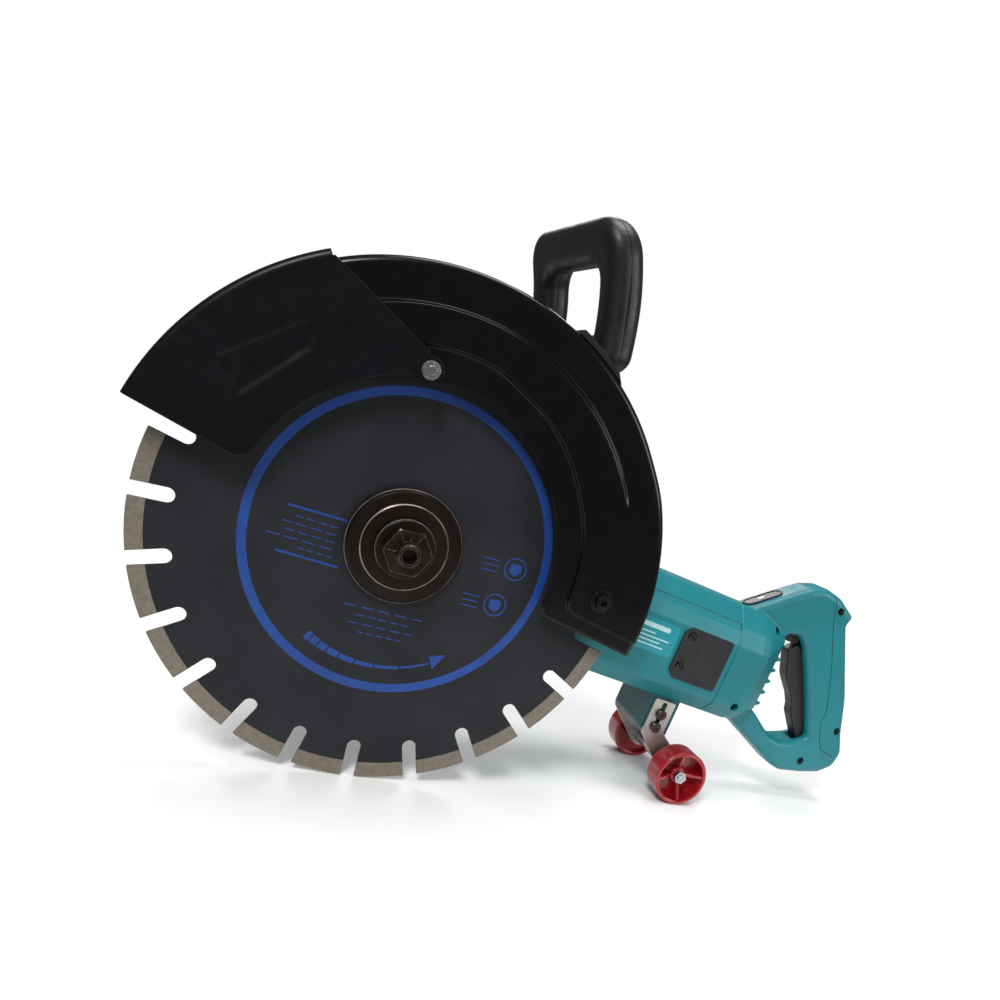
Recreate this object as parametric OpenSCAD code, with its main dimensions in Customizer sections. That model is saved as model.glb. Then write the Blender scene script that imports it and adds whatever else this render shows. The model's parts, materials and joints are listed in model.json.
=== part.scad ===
// Mains-electric 350 mm cut-off saw with a hinged front guard and guide wheels.
// The floor is z = 0, +X points to the rear handle, and the blade is on the -Y side.

/* [Blade] */
// Radius of the blade over its cutting segments
blade_r = 175; // [150:5:175]
// Height of a cutting segment
segment_h = 11; // [8:1:14]
// Thickness of the steel core
core_t = 2.4; // [2:0.2:3]
// Thickness of a cutting segment
segment_t = 3.2; // [3:0.1:4]
// Number of cutting segments
segment_count = 24; // [18:2:28]
// Width of the slot between two segments
slot_w = 10; // [6:1:12]
// Depth of the slot below the rim
slot_depth = 27.5; // [20:0.5:32]
// Radius of the blade's arbor hole
arbor_r = 12.7; // [12.7:0.1:15]

/* [Guard] */
// Outer radius of the fixed guard
guard_r = 190; // [186:1:196]
// Inner radius of the fixed guard's front face
guard_inner_r = 108; // [100:1:116]
// Thickness of the guard's sheet
guard_t = 1.6; // [1.2:0.1:2.5]
// Angle of the fixed guard's lower end
guard_a0 = -13; // [-25:1:0]
// Angle of the fixed guard's front end, under the hinged guard
guard_a1 = 128; // [120:1:132]

/* [Body] */
// Tilt of the motor's axis, down towards the rear
body_tilt = 9; // [5:1:12]
// Distance from the blade to the motor's axis
mid_y = 72; // [70:1:76]
// Half width of the motor housing
body_hw = 45; // [44:1:48]
// Half height of the motor housing
body_hh = 50; // [48:1:52]
// Wall thickness of the plastic housings
wall = 3; // [2.4:0.2:3.5]
// Width of the rear handle
grip_w = 32; // [28:1:36]

/* [Gears] */
// Teeth on the spindle's bevel gear
gear_teeth = 40; // [40:1:40]
// Teeth on the motor's pinion
pinion_teeth = 9; // [9:1:9]

/* [Wheels] */
// Radius of a guide wheel
wheel_r = 23.8; // [20:0.2:28]
// Width of a guide wheel
wheel_w = 21; // [16:1:22]

/* [Hidden] */
$fn = 64;

spindle_x = -140;
spindle_y = -46.5;
fit = 0.04;            // radial clearance of a running fit
eps = 0.01;            // overshoot of a cut
core_r = blade_r - segment_h;
spindle_r = 8;
flange_gap = core_t / 2;
face_y = -20;          // near face of the fixed guard
back_y = 14;           // near face of the guard's back sheet
back_t = 2.5;
visor_r = guard_r + 5;
visor_inner_r = 114;
visor_face_y = -24;    // near face of the hinged guard
visor_back_y = 23;     // far face of the hinged guard
visor_pivot = [-13, 120];
visor_bolt_r = 3;
flap_screw = [148, -7];
gear_slope = pinion_teeth / gear_teeth;
motor_front = 78;      // front end of the motor housing along the motor's axis
motor_rear = 305;      // joint of the motor housing and the rear housing
brush_u = 275;
axle_u = 300.4;
axle_v = -105.5;
axle_r = 3;
bracket_u = 270;
bracket_top = -50;
plate_off = 30.5;      // distance from the centre plane to a bracket plate
plate_t = 3;
bracket_holes = [-64, -76];
wheel_off = 38;        // distance from the centre plane to a wheel
trigger_pivot = [441, -50];
handle_lean = 12;      // lean of the front handle, forwards
handle_yaw = 9;        // turn of the front handle, its far end forwards
handle_base = [114, 156];
handle_t = 28;         // thickness of the front handle, fore and aft
handle_bolt_y = [52, 82];
foot_r = guard_r + 5;
guard_screw_ring = 27;  // radius of the circle of the guard's screws
bolt_spots = [[33.5, 31], [35, -31]];

// The blade's frame: x to the rear, y up, z towards the near side
module at_spindle() translate([spindle_x, spindle_y, blade_r]) children();
module disc_frame() at_spindle() rotate([90, 0, 0]) children();
// The motor's frame: x along its axis to the rear, y across, z up
module body_frame() at_spindle() translate([0, mid_y, 0]) rotate([0, body_tilt, 0]) children();
// A profile drawn as (along, up) in the motor's frame, extruded from offset y0 to y1
module side_slab(y0, y1) translate([0, y1, 0]) rotate([90, 0, 0]) linear_extrude(y1 - y0) children();
// A solid of revolution about the motor's axis, its z along the axis
module motor_axis() body_frame() rotate([0, 90, 0]) children();

module tube(r_out, r_in, z0, z1) translate([0, 0, z0]) difference() {
    cylinder(r = r_out, h = z1 - z0);
    translate([0, 0, -eps]) cylinder(r = r_in, h = z1 - z0 + 2 * eps);
}
module rod(r, z0, z1) translate([0, 0, z0]) cylinder(r = r, h = z1 - z0);
module hex(af, z0, z1) translate([0, 0, z0]) cylinder(r = af / sqrt(3), h = z1 - z0, $fn = 6);
// A ring sector between two angles, from radius r0 to r1 and height z0 to z1
module sector(a0, a1, r0, r1, z0, z1)
    rotate([0, 0, a0]) rotate_extrude(angle = a1 - a0, $fn = 180)
        translate([r0, z0]) square([r1 - r0, z1 - z0]);
// A screw along z with its head above z = 0
module screw(r, len, head_r, head_h, socket = 0) difference() {
    union() {
        rod(r, -len, 0);
        rod(head_r, 0, head_h);
    }
    if (socket > 0) hex(socket, head_h * 0.4, head_h + 1);
}
module on_both_sides() {
    children();
    mirror([0, 1, 0]) children();
}
function polar(r, a) = [r * cos(a), r * sin(a)];

// ---- blade and spindle ----
module blade_core() color("#2b2d33") disc_frame() difference() {
    rod(core_r, -core_t / 2, core_t / 2);
    rod(arbor_r, -core_t, core_t);
    for (i = [0:segment_count - 1]) rotate([0, 0, i * 360 / segment_count]) blade_slot();
}
module blade_slot() {
    translate([blade_r - slot_depth + slot_w / 2, 0, 0]) {
        rod(slot_w / 2, -3, 3);
        translate([0, -slot_w / 2, -3]) cube([slot_depth, slot_w, 6]);
    }
}
module blade_segments() color("#8d8375") disc_frame() difference() {
    tube(blade_r, core_r, -segment_t / 2, segment_t / 2);
    for (i = [0:segment_count - 1]) rotate([0, 0, i * 360 / segment_count]) blade_slot();
}
module inner_flange() color("#3b3531") disc_frame() rotate_extrude() polygon([
    [spindle_r + fit, 1.0], [arbor_r - 0.02, 1.0], [arbor_r - 0.02, -flange_gap],
    [30, -flange_gap - 0.6], [32, -flange_gap], [40.7, -flange_gap], [40.7, -5.5],
    [36, -9.5], [spindle_r + fit, -9.5]
]);
module outer_flange() color("#3b3531") disc_frame() rotate_extrude() polygon([
    [spindle_r + fit, 2.2], [30, 2.2], [32, flange_gap], [40.7, flange_gap], [40.7, 6.5],
    [38.2, 9], [30.5, 9], [29.3, 10.5], [spindle_r + fit, 10.5]
]);
module spindle_washer() color("#4a433e") disc_frame() rotate_extrude() polygon([
    [spindle_r + fit, 10.5], [21.5, 10.5], [21.5, 13], [19.8, 17], [spindle_r + fit, 17]
]);
module spindle_nut() color("#4a433e") disc_frame() difference() {
    intersection() {
        hex(30, 17, 28);
        translate([0, 0, 17]) cylinder(r1 = 23, r2 = 15.6, h = 11);
    }
    rod(spindle_r + fit, 16, 29);
}
module spindle() color("#6b6764") disc_frame() difference() {
    union() {
        rod(spindle_r, -9.5, 28.2);
        rod(spindle_r - 0.7, 28, 29.4);
        rod(spindle_r, 29.2, 37);
        translate([0, 0, 37]) cylinder(r1 = spindle_r, r2 = spindle_r - 1, h = 1);
        rod(11.5, -17.5, -9.5);
        rod(8.5, -31, -17.5);
        rod(11, -44, -31);
        rod(9, -60, -44);
        rod(6, -101.5, -60);
    }
    hex(10, 30, 39);
}
module bevel_gear() color("#7d7b78") at_spindle() rotate([90, 0, 0]) rotate([0, 0, -body_tilt]) {
    rotate_extrude() polygon([
        [9.02, -60], [9.02, -44], [18, -44], [22, -50], [38, -54],
        [38, -root_y(38)], [26, -root_y(26)], [16, -60]
    ]);
    for (i = [0:gear_teeth - 1]) rotate([0, 0, (i + 0.5) * 360 / gear_teeth - 1.7])
        rotate_extrude(angle = 3.4) polygon([
            [26.5, -root_y(26.5) + 0.4], [37.5, -root_y(37.5) + 0.4],
            [37.5, -root_y(37.5) - 2.7], [26.5, -root_y(26.5) - 2.7]
        ]);
}
function root_y(r) = mid_y - gear_slope * r - 1.5;
module pinion() color("#8a8885") motor_axis() {
    rotate_extrude() polygon([
        [3.52, 27], [pinion_root(27), 27], [pinion_root(37), 37], [3.52, 37]
    ]);
    for (i = [0:pinion_teeth - 1]) rotate([0, 0, -90 + i * 360 / pinion_teeth - 7])
        rotate_extrude(angle = 14) polygon([
            [pinion_root(27.5) - 0.4, 27.5], [pinion_root(27.5) + 2.7, 27.5],
            [pinion_root(36.5) + 2.7, 36.5], [pinion_root(36.5) - 0.4, 36.5]
        ]);
}
function pinion_root(u) = gear_slope * u - 1.5;
module spindle_bearings() color("#b9bcc0") disc_frame() {
    tube(20, 8.5 + fit, -30.5, -18.5);
    tube(13, 6 + fit, -102, -90);
}

// ---- gear case ----
module gear_housing() color("#4d5155") difference() {
    union() {
        disc_frame() rod(50, -108, -33);
        body_frame() translate([0, -38, -44]) cube([motor_front, 76, 88]);
        body_frame() translate([motor_front - 8, -42, -47]) cube([8, 84, 94]);
    }
    disc_frame() {
        rod(44, -88, -32);
        rod(13, -102, -80);
        cover_spots() rod(1.8, -48, -32);
    }
    body_frame() translate([10, -20, -20]) cube([54, 40, 40]);
    motor_axis() rod(38, 62, motor_front + 1);
    body_frame() on_both_sides() for (p = bolt_spots) translate([0, p[0], p[1]]) rotate([0, 90, 0]) {
        rod(2.1, motor_front - 9, motor_front + 1);
        rod(4.6, -60, motor_front - 8);
    }
}
module cover_spots() rotate([0, 0, -body_tilt]) for (a = [45:90:315]) translate(polar(47, a)) children();
module bearing_plate() color("#9a9da1") motor_axis() difference() {
    rod(38, 62, motor_front);
    rod(16, 64, motor_front + 1);
    rod(9, 61, 65);
}
module bearing_cover() color("#55595d") disc_frame() difference() {
    union() {
        rod(52, -33, -28);
        rod(30, -28, -back_y - back_t);
        rod(24, -back_y - back_t, -12.5);
    }
    rod(12.5, -19, -12);
    rod(20, -33.5, -18.5);
    cover_spots() rod(2.1, -34, -27);
    for (a = [0:90:270]) translate(polar(guard_screw_ring, a)) rod(1.5 + fit, -26, -back_y - back_t + eps);
}
module bearing_cover_screws() color("#8f9296") disc_frame()
    cover_spots() translate([0, 0, -28]) screw(1.8, 19, 3.4, 3.4, 3);

// ---- fixed guard ----
module guard_shell() color("#101113") disc_frame() difference() {
    union() {
        sector(guard_a0, guard_a1, 160, 187, 16 - guard_t, 16);
        sector(guard_a0, guard_a1, guard_r - guard_t, guard_r, -back_y, 13);
        rotate([0, 0, guard_a0]) rotate_extrude(angle = guard_a1 - guard_a0, $fn = 180) polygon([
            [guard_r - guard_t, 12.5], [guard_r, 12.5], [187, 16], [186, 16], [186, 14.4]
        ]);
        sector(guard_a0, guard_a1, 158.4, 160, 14.4, -face_y);
        sector(guard_a0, guard_a1, 128, 160, -face_y - guard_t, -face_y);
        sector(guard_a0, guard_a1, 126.4, 128, 16.4, -face_y);
        sector(guard_a0, guard_a1, guard_inner_r, 128, 15.6, 17.2);
    }
    translate(visor_pivot) rod(visor_bolt_r + fit, 10, 24);
    translate(flap_screw) rod(3.1, 10, 24);
}
module guard_back() color("#131416") disc_frame() difference() {
    union() {
        intersection() {
            rod(guard_r, -back_y - back_t, -back_y);
            translate([0, 0, -back_y - back_t - 1]) linear_extrude(back_t + 2) polygon([
                [0, 0], polar(300, guard_a0), polar(300, 40), polar(300, 90), polar(300, guard_a1)
            ]);
        }
        rod(62, -back_y - back_t, -back_y);
    }
    rod(24.1, -back_y - back_t - 1, -back_y + 1);
    for (a = [0:90:270]) translate(polar(guard_screw_ring, a)) rod(1.7, -back_y - back_t - 1, -back_y + 1);
    translate(visor_pivot) rod(visor_bolt_r + fit, -back_y - 4, -back_y + 2);
}
module guard_mount_screws() color("#8f9296") disc_frame() for (a = [0:90:270])
    translate(polar(guard_screw_ring, a)) translate([0, 0, -back_y]) screw(1.5, 9, 2.7, 1.8, 2);
module dust_flap() color("#1c1c1d") disc_frame() difference() {
    sector(guard_a0 + 0.5, guard_a0 + 18, 131, 157, 15.4, -face_y - guard_t);
    translate(flap_screw) rod(3.1, 10, 24);
}
module dust_flap_screw() color("#1b1c1e") disc_frame() translate(flap_screw) {
    translate([0, 0, 21.2]) screw(3, 14, 5.2, 5, 5);
    tube(8.5, 3, -face_y, 21.2);
    difference() {
        hex(10, 10.4, 15.4);
        rod(3, 9, 16);
    }
}

// ---- hinged front guard ----
module front_guard() color("#0f1011") disc_frame() difference() {
    intersection() {
        rod(visor_r, -visor_back_y, -visor_face_y);
        translate([0, 0, -visor_back_y - 1]) linear_extrude(visor_back_y - visor_face_y + 2)
            polygon(concat(
                [polar(100, 100), polar(100, 162.6), polar(300, 162.6), polar(300, 140)],
                [polar(300, 117), polar(visor_r - 1, 117)],
                [for (a = [50:-20:-70]) visor_pivot + polar(9, a)]
            ));
    }
    rod(visor_r - guard_t, guard_t - visor_back_y, -visor_face_y - guard_t);
    rod(visor_inner_r, -40, 40);
    translate(visor_pivot) rod(visor_bolt_r + fit, -30, 30);
}
module front_guard_bolts() color("#a9adb1") disc_frame() translate(visor_pivot) {
    rod(visor_bolt_r, 15, 31);
    hex(10, 12, 15);
    rod(visor_bolt_r, -29, -back_y + 0.5);
    rod(5, -back_y + 0.5, -back_y + 2.5);
}
module front_guard_nuts() color("#c9ccd0") disc_frame() translate(visor_pivot) {
    difference() {
        union() {
            hex(10, 25.2, 30);
            rod(6.2, 24.2, 25.2);
            hex(10, -28.2, -24.2);
            rod(6.2, -24.2, -23.3);
        }
        rod(visor_bolt_r, 20, 32);
        rod(visor_bolt_r, -30, -20);
    }
}

// ---- motor ----
module body_section() polygon([
    [-35.5, -body_hw], [18.5, -body_hw], [34, -body_hw + 8], [body_hh, -22], [body_hh, 22],
    [34, body_hw - 8], [18.5, body_hw], [-35.5, body_hw], [-body_hh, 30], [-body_hh, -30]
]);
module body_prism(u0, u1) translate([u0, 0, 0]) rotate([90, 0, 90]) linear_extrude(u1 - u0)
    mirror([1, 0]) rotate([0, 0, 90]) body_section();
module motor_housing() color("#159a9c") difference() {
    union() {
        body_frame() body_prism(motor_front, motor_rear);
        body_frame() translate([bracket_u - 12, 0.3 - plate_off, -83]) cube([27, 2 * plate_off - 0.6, 35]);
    }
    motor_axis() rod(41.5, motor_front - 1, 288);
    motor_axis() rod(36, 287, motor_rear + 1);
    body_frame() on_both_sides() {
        translate([255, -body_hw - 1, -24]) cube([40, 10, 38]);
        translate([250.5, -body_hw - 1, -28]) cube([49.5, 2, 47]);
    }
    body_frame() on_both_sides() {
        for (p = bolt_spots) translate([motor_front, p[0], p[1]]) rotate([0, 90, 0]) rod(2.1, -1, 30);
        for (v = bracket_holes) translate([bracket_u, 0, v]) rotate([90, 0, 0]) rod(2.5, 10, 40);
    }
}
module housing_bolts() color("#8f9296") body_frame() on_both_sides() for (p = bolt_spots)
    translate([motor_front - 8, p[0], p[1]]) rotate([0, -90, 0]) screw(2, 30, 4, 4, 3);
module stator_core() color("#6f6d6a") motor_axis() difference() {
    rod(41.5, 122, 208);
    rod(25.2, 121, 209);
    for (s = [-1, 1]) translate([s * 30, 0, 0]) rod(7, 121, 209);
}
module field_coils() color("#a45a2a") motor_axis() for (s = [-1, 1])
    translate([s * 31.2, 0, 0]) rod(5.6, 112, 218);
module armature_core() color("#75736f") motor_axis() difference() {
    rod(24.5, 124, 206);
    rod(6.5, 123, 207);
    for (a = [0:30:330]) rotate([0, 0, a]) translate([21, 0, 0]) rod(2.2, 123, 207);
}
module armature_windings() color("#b0662f") motor_axis() {
    tube(21, 6.5, 112, 124);
    tube(21, 6.5, 206, 222);
}
module commutator() color("#b87a4a") motor_axis() difference() {
    tube(15, 6.5, 262, 287);
    for (a = [0:15:345]) rotate([0, 0, a]) translate([15, 0, 0]) rod(0.5, 261, 284);
}
module rotor_shaft() color("#9b9a98") motor_axis() {
    rod(3.5, 24, 39);
    rod(6, 39, 80);
    rod(6.5, 80, 290);
    rod(4, 290, 300);
}
module fan() color("#c9c6ba") motor_axis() {
    tube(12, 6.5, 84, 100);
    tube(37, 12, 84, 86.5);
    for (a = [0:30:330]) rotate([0, 0, a]) translate([11.5, -1, 86]) cube([25, 2, 13]);
}
module fan_baffle() color("#2a2b2d") motor_axis() tube(41.5, 27, 102, 105);
module rotor_bearings() color("#b9bcc0") motor_axis() {
    tube(16, 6.02, 64, 75);
    tube(11, 4.02, 291, 298);
}
module brush_holders() color("#b58b3c") body_frame() on_both_sides() difference() {
    translate([brush_u - 6, -40, -8]) cube([12, 22, 16]);
    translate([brush_u - 3.55, -41, -5.05]) cube([7.1, 24, 10.1]);
}
module carbon_brushes() color("#1d1c1b") body_frame() on_both_sides()
    translate([brush_u - 3.5, -37, -5]) cube([7, 21.6, 10]);
module cover_plate() difference() {
    side_slab(-body_hw - 1.6, -body_hw + 1) polygon([
        [256.5, 18.4], [299.5, 18.4], [299.5, -27.4], [256.5, -27.4], [251, -22], [251, 13]
    ]);
    for (v = [-16, 11]) translate([254.6, -body_hw, v]) rotate([90, 0, 0]) rod(1.6, -3, 3);
}
module brush_cover_near() color("#17181a") body_frame() cover_plate();
module brush_cover_far() color("#17181a") body_frame() mirror([0, 1, 0]) cover_plate();
module brush_cover_screws() color("#5c5f62") body_frame() on_both_sides() for (v = [-16, 11])
    translate([254.6, -body_hw - 1.6, v]) rotate([90, 0, 0]) screw(1.5, 2.5, 2.6, 1.2);

// ---- rear housing and handle ----
rear_outline = [
    [310, -40], [310, 50], [331, 57.5], [359, 79], [372, 88], [388, 93.5], [407, 90], [428, 79],
    [425, 69], [462, 4.3], [476, -29], [486, -47.5], [483, -63], [470, -73], [450, -78.6],
    [427, -83], [415, -80.5], [400, -73.3], [358, -54.7], [335, -45]
];
rear_window = [
    [366, 33], [371, 41.4], [383, 43.4], [393.5, 34], [420.6, -9.3], [440, -43.7],
    [430, -50.3], [413, -56], [398, -53.4], [377, -40], [366, -34.4]
];
module rear_loop(inset) difference() {
    offset(delta = -inset) polygon(rear_outline);
    offset(delta = inset) polygon(rear_window);
}
module rear_cup(inset) intersection() {
    hull() {
        body_prism_inset(motor_rear + (inset > 0 ? 0.5 : 0), motor_rear + 30, inset);
        translate([0, -grip_w / 2 + inset, -38 + inset])
            cube([368 - inset, grip_w - 2 * inset, 76 - 2 * inset]);
    }
    translate([motor_rear - (inset > 0 ? 1 : 0), -60, -60]) cube([80, 120, 120]);
}
module body_prism_inset(u0, u1, inset) translate([u0, 0, 0]) rotate([90, 0, 90])
    linear_extrude(u1 - u0) offset(delta = -inset) mirror([1, 0]) rotate([0, 0, 90]) body_section();
module rear_solid(inset) {
    rear_cup(inset);
    side_slab(-grip_w / 2 + inset, grip_w / 2 - inset) rear_loop(inset);
}
screw_spots = [[352, 40], [410, 79], [443, -67], [467, -28], [328, -34]];
module rear_half() difference() {
    intersection() {
        union() {
            difference() {
                rear_solid(0);
                rear_solid(wall);
            }
            intersection() {
                rear_solid(0);
                for (p = screw_spots) translate([p[0], 0, p[1]]) rotate([90, 0, 0]) rod(5, -1, 60);
            }
            for (v = [-32:11.2:14]) translate([368 - eps, -13, v]) cube([7, 14, 5.5]);
        }
        translate([motor_rear, -60, -100]) cube([200, 60, 220]);
    }
    for (p = screw_spots) translate([p[0], 0, p[1]]) rotate([90, 0, 0]) {
        rod(2.04, -1, 14);
        rod(4, 13, 60);
    }
    trigger_room();
    inlet_frame() rod(6.5, -14, 14);
    window_frame() translate([-20, -8, -6]) cube([40, 16, 12]);
}
module inlet_frame() translate([459, 0, -69.4]) rotate([0, -15, 0]) children();
module window_frame() translate([337, 0, 61]) rotate([0, -37, 0]) children();
module trigger_room() {
    side_slab(-8, 8) polygon([[372, 40], [372, 54], [392, 56], [399, 38], [424, -2], [447, -40],
        [451, -59], [434, -59], [424, -42], [400, 18], [385, 38]]);
}
module rear_housing_near() color("#159a9c") body_frame() rear_half();
module rear_housing_far() color("#159a9c") body_frame() mirror([0, 1, 0]) rear_half();
module handle_screws() color("#55585c") body_frame() for (p = screw_spots)
    translate([p[0], -13, p[1]]) rotate([90, 0, 0]) screw(2, 20, 3.5, 2);
module trigger() color("#151618") body_frame() difference() {
    union() {
        side_slab(-7, 7) polygon([[383, 28], [391, 35], [400, 30], [424, -8], [446, -46],
            [444, -52], [438, -52], [431, -41], [419, -29], [408, -12], [392, 2]]);
        trigger_axis() rod(4.5, -7, 7);
    }
    trigger_axis() rod(2 + fit, -8, 8);
}
module trigger_axis() translate([trigger_pivot[0], 0, trigger_pivot[1]]) rotate([90, 0, 0]) children();
module trigger_pin() color("#8f9296") body_frame() trigger_axis() rod(2, -13, 13);
module lock_button() color("#151618") body_frame() side_slab(-6.5, 6.5)
    polygon([[374, 38], [374, 49], [388, 49], [388, 38], [386, 36], [376, 36]]);
module trigger_switch() color("#2a2c2f") body_frame()
    side_slab(-9, 9) polygon([[413, 34], [421, 39], [443, 1], [435, -4]]);
module speed_module() color("#1f6b3a") body_frame() translate([310, -30, -22]) cube([30, 60, 4]);
module indicator_window() color("#1b1512") body_frame() window_frame()
    translate([-19.8, -7.8, -4]) cube([39.6, 15.6, 5]);
module cord_inlet() color("#1b1c1e") body_frame() inlet_frame() difference() {
    rod(6.4, -8, 5);
    rod(4.5, -9, 6);
}

// ---- front handle ----
// The front handle's frame: x fore and aft, y across from its near face, z along its legs
module handle_frame() at_spindle() translate([handle_base[0], -13.5, handle_base[1]])
    rotate([0, -handle_lean, 0]) rotate([0, 0, handle_yaw]) children();
module rounded(y0, y1, z0, z1, r) hull() for (y = [y0 + r, y1 - r], z = [z0 + r, z1 - r])
    translate([y, z]) circle(r = r, $fn = 32);
module front_handle() color("#121314") difference() {
    handle_frame() rotate([90, 0, 90]) translate([0, 0, -handle_t / 2]) linear_extrude(handle_t)
        difference() {
            union() {
                rounded(0, 142, 12, 104, 24);
                rounded(0, 27, -3, 60, 8);
            }
            rounded(28, 116, 24, 73, 14);
        }
    disc_frame() rod(foot_r, -30, 30);
    handle_frame() for (y = handle_bolt_y) translate([0, y, 0]) rod(2.6, 0, 21);
}
module handle_foot() color("#121314") disc_frame() difference() {
    sector(46, 65, guard_r, foot_r, -12, 13);
    for (a = [49, 62]) rotate([0, 0, a]) rotate([0, 90, 0]) rod(2.1, guard_r - 2, foot_r + 2);
}
module handle_bracket() color("#16171a") difference() {
    union() {
        disc_frame() {
            rod(42, -23, -17);
            rotate([0, 0, 55.8]) translate([35, -16, -23]) cube([172, 32, 6]);
        }
        handle_frame() translate([-14, 34, 6]) cube([28, 63, 6]);
    }
    disc_frame() rod(30, -24, -16);
    handle_frame() {
        for (y = handle_bolt_y) translate([0, y, 0]) rod(2.6, 0, 13);
        translate([-60, 0, 12]) cube([120, 120, 40]);
    }
}
module handle_bolts() color("#8f9296") handle_frame() for (y = handle_bolt_y)
    translate([0, y, 6]) mirror([0, 0, 1]) screw(2.5, 14, 4.2, 4, 4);

// ---- guide wheels ----
module bracket_plate() difference() {
    union() {
        side_slab(plate_off, plate_off + plate_t) polygon([
            [bracket_u - 10, bracket_top - 1.5], [bracket_u + 10, bracket_top - 1.5],
            [bracket_u + 10, -79], [306, -97], [293, -113], [bracket_u - 10, -84]
        ]);
        plate_rod(axle_u, axle_v, 10.4, 0);
    }
    plate_rod(axle_u, axle_v, axle_r, 1);
    for (v = [-55.5, -76]) plate_rod(bracket_u, v, 2.6, 1);
    translate([bracket_u - 2.2, plate_off - 1, -76]) cube([4.4, plate_t + 2, 20.5]);
}
module plate_rod(u, v, r, over) translate([u, 0, v]) rotate([-90, 0, 0])
    rod(r, plate_off - over, plate_off + plate_t + over);
module bracket_plate_near() color("#c3c6c9") body_frame() mirror([0, 1, 0]) bracket_plate();
module bracket_plate_far() color("#c3c6c9") body_frame() bracket_plate();
module bracket_screws() color("#34363a") body_frame() on_both_sides() for (v = bracket_holes)
    translate([bracket_u, -plate_off - plate_t - 0.3, v]) rotate([90, 0, 0]) screw(2, 18, 4.6, 3, 3);
module axle_line() body_frame() translate([axle_u, 0, axle_v]) rotate([90, 0, 0]) children();
module wheel_axle() color("#b9bcc0") axle_line()
    rod(axle_r, -wheel_off - wheel_w + 1, wheel_off + wheel_w - 1);
module wheel_sleeves() color("#8f9296") axle_line() {
    tube(6, axle_r, plate_off + plate_t, wheel_off - 0.3);
    tube(6, axle_r, -wheel_off + 0.3, -plate_off - plate_t);
    tube(6, axle_r, -plate_off, plate_off);
}
module axle_nuts() color("#c9ccd0") axle_line() for (s = [0, 1]) mirror([0, 0, s]) difference() {
    hex(10, wheel_off + wheel_w - 7, wheel_off + wheel_w - 2);
    rod(axle_r, 40, 70);
}
module wheel() difference() {
    union() {
        tube(wheel_r, wheel_r - 3.2, wheel_off, wheel_off + wheel_w);
        rod(7.5, wheel_off, wheel_off + wheel_w - 7.3);
        rod(wheel_r - 2, wheel_off + 5, wheel_off + 8);
        for (a = [0:90:270]) rotate([0, 0, a + 20]) translate([6, -1.5, wheel_off])
            cube([wheel_r - 8, 3, wheel_w - 3]);
    }
    rod(axle_r + fit, wheel_off - 1, wheel_off + wheel_w + 1);
}
module wheel_near() color("#b3122a") axle_line() wheel();
module wheel_far() color("#b3122a") axle_line() mirror([0, 0, 1]) wheel();

blade_core();
blade_segments();
inner_flange();
outer_flange();
spindle_washer();
spindle_nut();
spindle();
bevel_gear();
spindle_bearings();
gear_housing();
bearing_cover();
bearing_cover_screws();
guard_shell();
guard_back();
guard_mount_screws();
dust_flap();
dust_flap_screw();
front_guard();
front_guard_bolts();
front_guard_nuts();
motor_housing();
housing_bolts();
bearing_plate();
stator_core();
field_coils();
armature_core();
armature_windings();
commutator();
rotor_shaft();
pinion();
fan();
fan_baffle();
rotor_bearings();
brush_holders();
carbon_brushes();
brush_cover_near();
brush_cover_far();
brush_cover_screws();
rear_housing_near();
rear_housing_far();
handle_screws();
trigger();
trigger_pin();
lock_button();
trigger_switch();
speed_module();
indicator_window();
cord_inlet();
front_handle();
handle_foot();
handle_bracket();
handle_bolts();
bracket_plate_near();
bracket_plate_far();
bracket_screws();
wheel_axle();
wheel_sleeves();
axle_nuts();
wheel_near();
wheel_far();
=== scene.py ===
import json
import math

import bmesh
import bpy
from mathutils import Matrix, Vector

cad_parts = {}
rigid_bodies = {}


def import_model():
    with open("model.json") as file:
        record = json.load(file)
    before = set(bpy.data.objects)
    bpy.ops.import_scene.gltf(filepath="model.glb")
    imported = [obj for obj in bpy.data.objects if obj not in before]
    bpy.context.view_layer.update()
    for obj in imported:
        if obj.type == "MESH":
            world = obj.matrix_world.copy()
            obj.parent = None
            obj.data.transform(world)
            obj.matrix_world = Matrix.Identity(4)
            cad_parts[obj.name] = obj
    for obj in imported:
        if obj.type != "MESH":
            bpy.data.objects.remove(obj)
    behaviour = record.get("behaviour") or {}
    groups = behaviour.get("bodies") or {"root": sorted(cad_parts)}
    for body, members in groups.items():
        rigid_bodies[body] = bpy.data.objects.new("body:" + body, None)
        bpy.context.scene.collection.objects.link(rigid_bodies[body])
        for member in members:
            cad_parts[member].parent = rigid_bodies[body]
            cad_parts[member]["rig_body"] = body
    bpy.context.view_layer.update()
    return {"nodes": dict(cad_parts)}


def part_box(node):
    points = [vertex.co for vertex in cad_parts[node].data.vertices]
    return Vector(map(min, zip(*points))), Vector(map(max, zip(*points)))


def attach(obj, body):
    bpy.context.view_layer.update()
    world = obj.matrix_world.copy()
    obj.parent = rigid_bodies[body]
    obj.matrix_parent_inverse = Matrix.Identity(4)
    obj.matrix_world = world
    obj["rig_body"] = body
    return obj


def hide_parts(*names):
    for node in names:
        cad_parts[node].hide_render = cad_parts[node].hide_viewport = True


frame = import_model()

mm = 0.001
bodyTilt = math.radians(9)
handleLean, handleYaw = math.radians(-12), math.radians(9)
motorOffset = 0.072  # from the blade's plane to the motor's axis
coreLow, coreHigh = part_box("blade_core")
spindleCentre = (coreLow + coreHigh) / 2

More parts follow.
